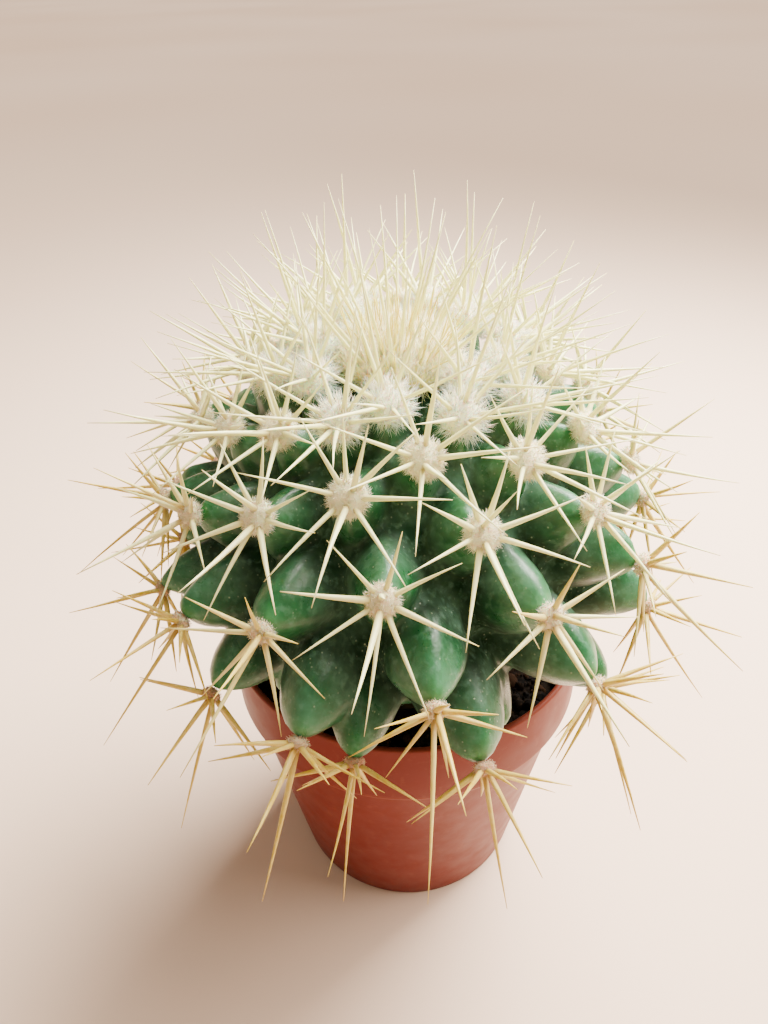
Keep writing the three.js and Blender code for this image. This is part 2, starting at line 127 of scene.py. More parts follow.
class Draw(IntEnum):
    """Seeds of the random draws inside the trees."""

    HAIR_TONE = 11
    HAIR_LENGTH = 23
    CRUMB_TONE = 12
    CRUMB_TURN = 4
    CRUMB_SIZE = 6
    CRUMB_SHAPE = 9


# Colours, nodes and meshes


def linear(colour: str) -> tuple[float, float, float, float]:
    """Turns an sRGB colour to the linear values of a shader socket.

    Args:
        colour: A hash and six hex digits.

    Returns:
        Linear red, green and blue, and an alpha of 1.
    """
    parts = [int(colour[i : i + 2], 16) / 255 for i in (1, 3, 5)]
    red, green, blue = [
        c / 12.92 if c <= 0.04045 else ((c + 0.055) / 1.055) ** 2.4 for c in parts
    ]
    return red, green, blue, 1.0


def fill(tree: Tree, node: bpy.types.Node, values: Mapping[int | str, object]) -> None:
    """Fills inputs of a node with links or plain values.

    Args:
        tree: The tree that the node is in.
        node: The node.
        values: An output socket or a plain value for each input, by name or number.
    """
    for key, value in values.items():
        if isinstance(value, Socket):
            tree.links.new(value, node.inputs[key])
        else:
            node.inputs[key].default_value = value


def add(
    tree: Tree,
    kind: Node,
    *values: object,
    out: int | str = 0,
    stops: Sequence[tuple[float, str]] = (),
    **settings: object,
) -> Socket:
    """Adds a node with its settings and links.

    Args:
        tree: The tree that the node goes into.
        kind: The node's type.
        *values: What each input in turn gets, or a dict for inputs by name or number.
        out: The output that is wanted.
        stops: Places and sRGB colours of a colour ramp.
        **settings: The node's own properties.

    Returns:
        The wanted output.
    """
    made = tree.nodes.new(kind.value)
    for name, value in settings.items():
        setattr(made, name, value)
    if stops:
        ramp = made.color_ramp.elements
        while len(ramp) < len(stops):
            ramp.new(1.0)
        for element, (place, colour) in zip(ramp, stops):
            element.position, element.color = place, linear(colour)
    for key, value in enumerate(values):
        fill(tree, made, value if isinstance(value, dict) else {key: value})
    return made.outputs[out]


def carry(mesh: Mesh, **attributes: Array) -> Mesh:
    """Puts one number or one vector on each point of a mesh, under each name.

    Args:
        mesh: The mesh.
        **attributes: The values of all points, under their name.

    Returns:
        The same mesh.
    """
    for key, values in attributes.items():
        values = np.asarray(values, np.float32)
        vector = values.ndim == 2
        layer = mesh.attributes.new(key, "FLOAT_VECTOR" if vector else "FLOAT", "POINT")
        layer.data.foreach_set("vector" if vector else "value", values.ravel())
    return mesh


def mesh_of(
    name: str, points: Array, faces: Sequence[Sequence[int]] = (), **attributes: Array
) -> Mesh:
    """Makes a mesh, with values on its points.

    Args:
        name: The mesh's name.
        points: Places in millimetres.
        faces: Point numbers of each face.
        **attributes: One number or one vector a point, under the attribute's name.

    Returns:
        The mesh, in metres.
    """
    mesh = bpy.data.meshes.new(name)
    mesh.from_pydata([tuple(p) for p in np.asarray(points) * MM], [], list(faces))
    return carry(mesh, **attributes)


def object_of(name: str, data: bpy.types.ID) -> Piece:
    """Puts a mesh, a camera or a light into the scene, at the origin.

    Args:
        name: The object's name.
        data: The mesh, camera or light.

    Returns:
        The object.
    """
    made = bpy.data.objects.new(name, data)
    bpy.context.scene.collection.objects.link(made)
    return made


def evaluated(piece: Piece) -> None:
    """Gives a piece the plain mesh that its modifier makes, and takes the modifier off.

    Args:
        piece: The piece, with one modifier.
    """
    graph = bpy.context.evaluated_depsgraph_get()
    plain = bpy.data.meshes.new_from_object(
        piece.evaluated_get(graph), preserve_all_data_layers=True, depsgraph=graph
    )
    piece.modifiers.clear()
    piece.data = plain
    plain.name = piece.name


def settled(piece: Piece, stands_for: Iterable[str] = ()) -> Piece:
    """Makes a finished piece ride on the part and stand for its solids.

    Args:
        piece: The finished object.
        stands_for: The solids that it is shown instead of.

    Returns:
        The same piece.
    """
    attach(piece, "root")
    if stands_for:
        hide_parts(*stands_for)
    return piece


def unit(vectors: Array) -> Array:
    """Scales vectors to length one."""
    return vectors / np.linalg.norm(vectors, axis=-1, keepdims=True)


def ring(radius: float, height: float, sides: int) -> Array:
    """A level ring round the Z axis, or its middle where the radius is none.

    Args:
        radius: Radius of the ring.
        height: Its height.
        sides: Number of its points.

    Returns:
        The ring's points, or the one point.
    """
    if radius < TINY:
        return height * UP
    turn = 2 * math.pi * np.arange(sides) / sides
    flat = radius * np.column_stack([np.cos(turn), np.sin(turn), np.zeros(sides)])
    return flat + height * UP


class Growth:
    """A Geometry Nodes tree with named inputs, run once and kept as a plain mesh."""

    KINDS = {
        float: "NodeSocketFloat",
        int: "NodeSocketInt",
        bpy.types.Material: "NodeSocketMaterial",
        bpy.types.Object: "NodeSocketObject",
    }

    def __init__(self, name: str, **sizes: object) -> None:
        """Starts the tree.

        Args:
            name: The tree's name.
            **sizes: Each input's value, under the input's name.
        """
        self.tree = bpy.data.node_groups.new(name, "GeometryNodeTree")
        self.sizes = sizes
        sockets = self.tree.interface
        for way in ("INPUT", "OUTPUT"):
            sockets.new_socket("Geometry", in_out=way, socket_type="NodeSocketGeometry")
        for label, value in sizes.items():
            sockets.new_socket(label, in_out="INPUT", socket_type=self.KINDS[type(value)])
        self.given = self.tree.nodes.new("NodeGroupInput").outputs

    def carried(self, numbers: str, vectors: str) -> dict[str, Socket]:
        """Reads what the points carry.

        Args:
            numbers: Names of the numbers, with spaces between.
            vectors: Names of the vectors, with spaces between.

        Returns:
            A socket for each name.
        """
        kinds = {name: "FLOAT" for name in numbers.split()}
        kinds |= {name: "FLOAT_VECTOR" for name in vectors.split()}
        return {n: add(self.tree, Node.NAMED, n, data_type=kind) for n, kind in kinds.items()}

    def taper(self, sides: Wire, steps: Wire, blunt: Wire) -> Socket:
        """A cone of radius and height one, whose points carry their height as `along`.

        Args:
            sides: Flat sides round it.
            steps: Steps from its foot to its point.
            blunt: Radius of its point.

        Returns:
            The cone.
        """
        wires = {"Vertices": sides, "Side Segments": steps, "Radius Top": blunt}
        cone = add(self.tree, Node.CONE, wires | {"Radius Bottom": 1.0, "Depth": 1.0})
        height = add(self.tree, Node.SEPARATE, add(self.tree, Node.POSITION), out="Z")
        return add(self.tree, Node.STORE, cone, {"Name": "along", "Value": height})

    def planted(self, points: Socket, shape: Socket, turn: Socket, size: Socket) -> Socket:
        """Puts a shape on each point.

        Args:
            points: The points.
            shape: The shape.
            turn: How it is turned on each.
            size: How large it is on each.

        Returns:
            The shapes, as real faces.
        """
        wires = {"Instance": shape, "Rotation": turn, "Scale": size}
        return add(self.tree, Node.REALIZE, add(self.tree, Node.INSTANCE, points, wires))

    def shaken(self, shapes: Socket, scale: Socket, detail: float, far: Socket) -> Socket:
        """Moves points softly out of line.

        Args:
            shapes: The shapes whose points move.
            scale: Scale of the noise that moves them.
            detail: How many finer octaves it has.
            far: How far they move at most.

        Returns:
            The uneven shapes.
        """
        tree = self.tree
        wander = add(tree, Node.NOISE, {"Scale": scale, "Detail": detail}, out="Color")
        wander = add(tree, Node.VECTOR, wander, (MEAN, MEAN, MEAN), operation="SUBTRACT")
        wander = add(tree, Node.VECTOR, wander, {"Scale": far}, operation="SCALE")
        return add(tree, Node.MOVE, shapes, {"Offset": wander})

    def end(self, geometry: Socket) -> None:
        """Ends the tree: real, smooth faces in the piece's finish.

        Args:
            geometry: All that was grown.
        """
        smooth = add(self.tree, Node.SMOOTH, add(self.tree, Node.REALIZE, geometry))
        dressed = add(self.tree, Node.DRESS, smooth, {"Material": self.given["finish"]})
        fill(self.tree, self.tree.nodes.new("NodeGroupOutput"), {0: dressed})

    def run(self, name: str, seedbed: Mesh) -> Piece:
        """Grows the tree on a mesh.

        Args:
            name: The piece's name.
            seedbed: The mesh that the tree starts from.

        Returns:
            An object with the plain result.
        """
        piece = object_of(name, seedbed)
        modifier = piece.modifiers.new(name, "NODES")
        modifier.node_group = self.tree
        for item in self.tree.interface.items_tree:
            if item.in_out == "INPUT" and item.name in self.sizes:
                modifier[item.identifier] = self.sizes[item.name]
        evaluated(piece)
        return piece


# Finishes


@dataclass(frozen=True)
class Finish:
    """What all finishes share; each kind paints its own pattern."""

    roughness: float = 0.5
    ior: float = 1.5  # Index of refraction.
    gloss: float = 0.5  # Strength of the reflection, 0.5 for a clean surface.
    through: float = 0.0  # Share of light that scatters inside.
    depth: float = 1.0  # How deep it scatters.
    # How far red, green and blue scatter, in depths.
    scatter: tuple[float, float, float] = (1.0, 0.2, 0.1)
    sheen: float = 0.0  # Strength of the soft edge that fine hairs give.
    # Strength and height of the fine unevenness, and its width and octaves.
    relief: tuple[float, float, float, int] = (0.0, 0.1, 1.0, 2)

    def material(self) -> bpy.types.Material:
        """Makes the material.

        Returns:
            The material, named for its kind of finish.
        """
        made = bpy.data.materials.new(type(self).__name__)
        made.use_nodes = True
        tree = made.node_tree
        plain = {
            "Roughness": self.roughness,
            "IOR": self.ior,
            "Specular IOR Level": self.gloss,
            "Subsurface Weight": self.through,
            "Subsurface Scale": self.depth * MM,
            "Subsurface Radius": self.scatter,
            "Sheen Weight": self.sheen,
        }
        fill(tree, tree.nodes["Principled BSDF"], plain | self.paint(tree))
        return made

    def paint(self, tree: Tree) -> dict[str, Socket]:
        """Makes the pattern of this kind of finish, for the shader's inputs."""
        raise NotImplementedError

    def grain(self, tree: Tree, size: float, detail: int, limits: Limits = ()) -> Socket:
        """Soft noise in the object's own space.

        Args:
            tree: The material's tree.
            size: Width of one patch in millimetres.
            detail: How many finer octaves it has.
            limits: Limits of the patches, or none for the bare noise.

        Returns:
            The noise, or how much of the patches shows.
        """
        place = add(tree, Node.PLACE, out="Object")
        wires = {"Vector": place, "Scale": 1 / (size * MM), "Detail": detail}
        cloud = add(tree, Node.NOISE, wires)
        return add(tree, Node.RANGE, cloud, *limits) if limits else cloud

    def coated(self, tree: Tree, ground: Socket | str, *coats: tuple) -> Socket:
        """Lays coats of colour over one another.

        Args:
            tree: The material's tree.
            ground: The lowest colour, a socket or a hex value.
            *coats: The share that each covers, its colour and how it mixes, if not plainly.

        Returns:
            The colour that shows.
        """
        for share, colour, *kind in coats:
            below, above = (linear(c) if isinstance(c, str) else c for c in (ground, colour))
            settings = {"data_type": "RGBA", "blend_type": kind[0] if kind else "MIX"}
            wires = {BELOW: below, ABOVE: above}
            ground = add(tree, Node.MIX, share, wires, out=MIXED, **settings)
        return ground

    def uneven(self, tree: Tree, raised: Socket | None = None) -> Socket:
        """Makes the fine unevenness.

        Args:
            tree: The material's tree.
            raised: A pattern that stands out from it.

        Returns:
            The surface's direction.
        """
        strength, height, size, detail = self.relief
        form = self.grain(tree, size, detail)
        if raised is not None:
            form = add(tree, Node.MATH, raised, form, operation="ADD")
        wires = {"Strength": strength, "Distance": height * MM, "Height": form}
        return add(tree, Node.BUMP, wires)


@dataclass(frozen=True)
class WaxySkin(Finish):
    """Living cactus skin: a waxy, glossy cuticle over green flesh.

    The cuticle gives broad soft highlights, the flesh a deep green that is brighter at the
    tips and near the crown, and age leaves grey scurf, pale specks and a corky brown neck.
    The green darkens from the tips down into near black valleys: painted shade in the creases.
    Real pores are hundredths of a millimetre wide: the specks are drawn coarser, to show.
    """

    roughness: float = 0.28
    ior: float = 1.45
    gloss: float = 0.45
    through: float = 0.12
    depth: float = 1.6
    scatter: tuple[float, float, float] = (0.4, 1.0, 0.3)
    relief: tuple[float, float, float, int] = (0.4, 0.1, 0.45, 4)
    tip: str = "#3a9048"
    flank: str = "#206b3c"
    foot: str = "#14502b"
    # Near black green of the valleys: painted shade in the creases.
    valley: str = "#0b2a12"
    young: str = "#5c9a35"
    scurf: str = "#40492f"
    cork: str = "#54452e"
    speck: str = "#a9b69a"
    bloom: str = "#80ab92"
    mottle: str = "#adb89c"
    # Distances from the tip at which the greens from tip to valleys lie; the darkening into the
    # valleys is painted shade.
    tones: tuple[float, ...] = (0.12, 0.4, 0.75, 1.0)
    # Width and octaves of the patches that shift the greens.
    marble: tuple[float, int] = (3.2, 4)
    shift: float = 0.22  # How far they shift them.
    youth: Limits = (0.42, 0.08, 0.0, 0.45)  # Fresh green, by age.
    film: Patches = (5.0, 3, (0.4, 0.75, 0.03, 0.34))  # Pale bloom of wax.
    mottling: Patches = (1.1, 6, (0.35, 0.65, 0.0, 0.5))  # Uneven flesh.
    dust: Patches = (0.9, 6, (0.52, 0.78, 0.0, 0.28))  # Fine wear and dust.
    aged: Limits = (0.42, 0.85)  # Where scurf comes up, by age.
    crust: Patches = (2.4, 6, (0.42, 0.7, 0.0, 0.6))  # Patches of scurf.
    corky: Limits = (58, 51, 0.0, 0.85)  # Cork, by the height in millimetres.
    ragged: float = 4  # How far the cork's edge wanders.
    cell: float = 0.55  # Width of a cell that can hold a speck.
    dots: Limits = (0.26, 0.1, 0.0, 0.8)  # A speck, by the distance from its middle.
    chosen: Limits = (0.5, 0.75)  # Which cells hold one.
    strewn: Patches = (3.0, 3, (0.46, 0.62))  # Where there are specks at all.
    rise: float = 0.8  # How high they stand.
    dulling: Limits = (0.3, 0.75, -0.04, 0.14)  # How much rougher the greens' patches are.
    # Where valleys start and are full, by the distance from the tip.
    valleys: Limits = (0.7, 1.05)
    in_valleys: tuple[float, float] = (0.45, 0.05)  # Roughness added and gloss left there.

    def specks(self, tree: Tree, place: Socket) -> Socket:
        """Small dots in some of the cells.

        Args:
            tree: The material's tree.
            place: Place on the object.

        Returns:
            The share of them that shows.
        """
        wires = {"Vector": place, "Scale": 1 / (self.cell * MM), "Randomness": 1.0}
        apart = add(tree, Node.CELLS, wires, out="Distance")
        dots = add(tree, Node.RANGE, apart, *self.dots)
        chosen = add(tree, Node.RANGE, apart.node.outputs["Color"], *self.chosen)
        for other in (chosen, self.grain(tree, *self.strewn)):
            dots = add(tree, Node.MATH, dots, other, operation="MULTIPLY")
        return dots

    def paint(self, tree: Tree) -> dict[str, Socket]:
        """Greens by the place on the tubercle, darker into the valleys as painted shade, with
        bloom, scurf and specks over them.

        Args:
            tree: The material's tree.

        Returns:
            What the shader's inputs get.
        """
        off_tip, age = (
            add(tree, Node.CARRIED, out="Fac", attribute_name=n) for n in ("off_tip", "age")
        )
        marble = self.grain(tree, *self.marble)
        # Greens from tip to valleys; the dark valleys are painted shade in the creases.
        greens_to_shaded_valleys = zip(self.tones, (self.tip, self.flank, self.foot, self.valley))
        wander = add(tree, Node.MATH, marble, self.shift, off_tip, operation="MULTIPLY_ADD")
        crust = self.grain(tree, *self.crust)
        aged = add(tree, Node.RANGE, age, *self.aged)
        place = add(tree, Node.PLACE, out="Object")
        height = add(tree, Node.SEPARATE, place, out="Z")
        edge = add(tree, Node.MATH, crust, self.ragged * MM, height, operation="MULTIPLY_ADD")
        high, low, *share = self.corky
        dots = self.specks(tree, place)
        green = self.coated(
            tree,
            add(tree, Node.RAMP, wander, stops=list(greens_to_shaded_valleys)),
            (add(tree, Node.RANGE, age, *self.youth), self.young, "SOFT_LIGHT"),
            (self.grain(tree, *self.film), self.bloom),
            (self.grain(tree, *self.mottling), self.mottle, "MULTIPLY"),
            (self.grain(tree, *self.dust), self.bloom),
            (add(tree, Node.MATH, aged, crust, operation="MULTIPLY"), self.scurf),
            (add(tree, Node.RANGE, edge, high * MM, low * MM, *share), self.cork),
            (dots, self.speck),
        )
        start, full, least, most = self.dulling
        least, most = self.roughness + least, self.roughness + most
        dull = add(tree, Node.RANGE, marble, start, full, least, most)
        duller, shine = self.in_valleys
        deep = add(tree, Node.RANGE, off_tip, *self.valleys, 0.0, duller)
        return {
            "Base Color": green,
            "Roughness": add(tree, Node.MATH, dull, deep, operation="ADD"),
            "Specular IOR Level": add(
                tree, Node.RANGE, off_tip, *self.valleys, self.gloss, shine
            ),
            "Normal": self.uneven(
                tree, add(tree, Node.MATH, dots, self.rise, operation="MULTIPLY")
            ),
        }


@dataclass(frozen=True)
class HornySpine(Finish):
    """Cactus spine: dry horny fibre, smooth and a little translucent.

    Light that enters it leaves a warm glow, pale cream when young and straw gold when old,
    with a darker root and an amber point. Its fibres are drawn coarser than they are.
    """

    roughness: float = 0.4
    ior: float = 1.54
    gloss: float = 0.4
    through: float = 0.25
    depth: float = 0.5
    scatter: tuple[float, float, float] = (1.0, 0.9, 0.5)
    relief: tuple[float, float, float, int] = (0.2, 0.03, 0.2, 2)
    young: str = "#f5f2ac"
    old: str = "#ccaa16"
    pale: str = "#fbf8cc"
    root: str = "#b07c34"
    point: str = "#c09238"
    # How much more golden it gets to its point, and how golden its root is.
    deepening: tuple[float, float] = (0.5, 0.75)
    streaks: Patches = (0.9, 3, (0.3, 0.7, 0.0, 0.2))
    # The root's colour, by the place along the spine.
    dark_root: Limits = (0.2, 0.03, 0.0, 0.65)
    # The point's colour, by the place along the spine.
    dark_point: Limits = (0.86, 1.0, 0.0, 0.55)

    def paint(self, tree: Tree) -> dict[str, Socket]:
        """Cream to gold by age, darker at the root and amber at the point.

        Args:
            tree: The material's tree.

        Returns:
            What the shader's inputs get.
        """
        along, gold = (
            add(tree, Node.CARRIED, out="Fac", attribute_name=n) for n in ("along", "gold")
        )
        deeper = add(tree, Node.MATH, along, *self.deepening, operation="MULTIPLY_ADD")
        body = self.coated(
            tree,
            self.young,
            (add(tree, Node.MATH, gold, deeper, operation="MULTIPLY"), self.old),
            (self.grain(tree, *self.streaks), self.pale),
            (add(tree, Node.RANGE, along, *self.dark_root), self.root),
            (add(tree, Node.RANGE, along, *self.dark_point), self.point),
        )
        return {"Base Color": body, "Normal": self.uneven(tree)}


@dataclass(frozen=True)
class WoollyFelt(Finish):
    """Areole felt and crown wool: short matted plant hairs.

    The hairs scatter light in all directions, so it is matt and bright with a soft edge,
    cream in the young cushions and pinkish brown in the old ones. Single hairs are a few
    hundredths of a millimetre thick, and their relief is drawn coarser, to show.
    """

    roughness: float = 0.92
    through: float = 0.45
    sheen: float = 0.35
    relief: tuple[float, float, float, int] = (0.35, 0.1, 0.25, 3)
    young: str = "#fff5c8"
    old: str = "#b98a66"
    shade: str = "#e6c48c"
    golden: str = "#efe08c"
    shaded: Limits = (0.5, 1.0, 0.0, 0.35)  # How much a hair is shaded, by its own tone.
    clumps: Patches = (0.8, 3, (0.5, 0.75, 0.0, 0.3))  # Shade between the clumps of hair.

    def paint(self, tree: Tree) -> dict[str, Socket]:
        """Cream to brown by age, gold in the middle of the crown, each hair a little apart.

        Args:
            tree: The material's tree.

        Returns:
            What the shader's inputs get.
        """
        age, gold, tone = (
            add(tree, Node.CARRIED, out="Fac", attribute_name=n)
            for n in ("age", "gold", "tone")
        )
        body = self.coated(
            tree,
            self.young,
            (age, self.old),
            (gold, self.golden),
            (add(tree, Node.RANGE, tone, *self.shaded), self.shade),
            (self.grain(tree, *self.clumps), self.shade),
        )
        return {"Base Color": body, "Normal": self.uneven(tree)}


@dataclass(frozen=True)
class DampPeat(Finish):
    """Damp peat with bark fines: almost black crumbs and some brown fibre.

    It drinks the light, and only the bark and the fibre stand out. Fibres are drawn half a
    millimetre wide, coarser than real ones, to show.
    """

    roughness: float = 0.95
    gloss: float = 0.15
    relief: tuple[float, float, float, int] = (0.9, 0.4, 0.6, 5)
    dark: str = "#0b0806"
    brown: str = "#21160d"
    bark: str = "#3a2413"
    fibre: str = "#4c3620"
    crumbled: Patches = (1.4, 5, (0.35, 0.7))  # Brown crumbs among the dark.
    barky: Limits = (0.6, 1.0, 0.0, 0.8)  # How much of a crumb is bark, by its own tone.
    threads: Patches = (0.5, 2, (0.66, 0.74, 0.0, 0.8))  # Pale fibres.

    def paint(self, tree: Tree) -> dict[str, Socket]:
        """Dark and brown crumbs with a few lighter fibres.

        Args:
            tree: The material's tree.

        Returns:
            What the shader's inputs get.
        """
        tone = add(tree, Node.CARRIED, out="Fac", attribute_name="tone")
        body = self.coated(
            tree,
            self.dark,
            (self.grain(tree, *self.crumbled), self.brown),
            (add(tree, Node.RANGE, tone, *self.barky), self.bark),
            (self.grain(tree, *self.threads), self.fibre),
        )
        return {"Base Color": body, "Normal": self.uneven(tree)}


@dataclass(frozen=True)
class MouldedPolypropylene(Finish):
    """Injection-moulded polypropylene, terracotta brown.

    It has a satin, slightly waxy face with faint flow marks, and dust dulls it in patches.
    The band's lower edge has a pale line, partly wear and partly a painted highlight where
    the edge catches light, the rim's top edge is worn pale, and under the band a darker
    strip is partly grime and partly painted shade. The mould's fine texture is drawn
    coarser than it is, to show.
    """

    roughness: float = 0.42
    ior: float = 1.49
    gloss: float = 0.14
    through: float = 0.08
    depth: float = 1.5
    relief: tuple[float, float, float, int] = (0.12, 0.05, 0.3, 2)
    body: str = "#74281d"
    deep: str = "#611c15"
    # Dust, and the pale line on the band's lower edge, which is partly a painted highlight.
    dust: str = "#a05f46"
    # Darker strip under the band: partly grime, partly painted shade.
    dirt: str = "#3a150b"
    flow: Patches = (14.0, 1, (0.35, 0.7, 0.0, 0.32))
    # Heights in millimetres between which the band's marks lie.
    banded: tuple[float, float] = (37, 51)
    # Pale line on the band's lower edge, partly wear and partly a painted highlight, and pale
    # wear on the rim's top edge, by the share of that height.
    scuffed: Stops = (
        (0.139, "#000000"),
        (0.152, "#9a9a9a"),
        (0.185, "#707070"),
        (0.215, "#000000"),
        (0.9, "#000000"),
        (0.92, "#808080"),
    )
    # Darker strip under the band's step, partly grime and partly painted shade, by the share of
    # that height.
    dirty: Stops = (
        (0.05, "#000000"),
        (0.125, "#909090"),
        (0.139, "#b0b0b0"),
        (0.142, "#000000"),
    )
    dusty: Patches = (1.2, 6, (0.56, 0.8, 0.0, 0.22))
    dull: Patches = (4.0, 4, (0.3, 0.7, 0.38, 0.5))  # Roughness of the satin face.

    def paint(self, tree: Tree) -> dict[str, Socket]:
        """Terracotta with flow marks, pale edges with a painted highlight, a darker strip with
        painted shade under the band, and dust.

        Args:
            tree: The material's tree.

        Returns:
            What the shader's inputs get.
        """
        place = add(tree, Node.PLACE, out="Object")
        height = add(tree, Node.SEPARATE, place, out="Z")
        level = add(tree, Node.RANGE, height, *(z * MM for z in self.banded))
        body = self.coated(
            tree,
            self.body,
            (self.grain(tree, *self.flow), self.deep),
            # Pale edges: wear, with a painted highlight on the band's lower edge.
            (add(tree, Node.RAMP, level, stops=self.scuffed), self.dust),
            # Darker under the band's step: grime and painted shade.
            (add(tree, Node.RAMP, level, stops=self.dirty), self.dirt),
            (self.grain(tree, *self.dusty), self.dust),
        )
        dull = self.grain(tree, *self.dull)
        return {"Base Color": body, "Roughness": dull, "Normal": self.uneven(tree)}


@dataclass(frozen=True)
class BackdropPaper(Finish):
    """Matt backdrop paper: pale beige pink, with very faint clouding."""

    roughness: float = 0.9
    pale: str = "#e4c8b0"
    warm: str = "#dcbea4"
    clouds: Patches = (700, 1, (0.35, 0.65))  # Broad patches of the warmer tone.

    def paint(self, tree: Tree) -> dict[str, Socket]:
        """Two close tones in broad soft clouds."""
        clouds = self.grain(tree, *self.clouds)
        return {"Base Color": self.coated(tree, self.pale, (clouds, self.warm))}


# The plant's shape


@dataclass(frozen=True)
class Tubercle:
    """One tubercle, seen from the body's centre."""

    order: int  # Its number in the spiral; 0 faces the front, and it grows to the crown.
    aim: Array  # Direction of its areole.
    side: Array  # Level direction across it.
    axis: Array  # The way its cushion and spines face.
    top: Array  # Direction of the hump's top.
    top_up: Array  # Upward direction at the hump's top.
    reach: float  # How far the skin is at the areole, before the neighbours blend in.
    width: float  # Half width of the hump.
    depth: float  # How far the hump falls off over one width.
    downhill: float  # Length of its lower slope, in widths.
    felt_radius: float
    felt_height: float


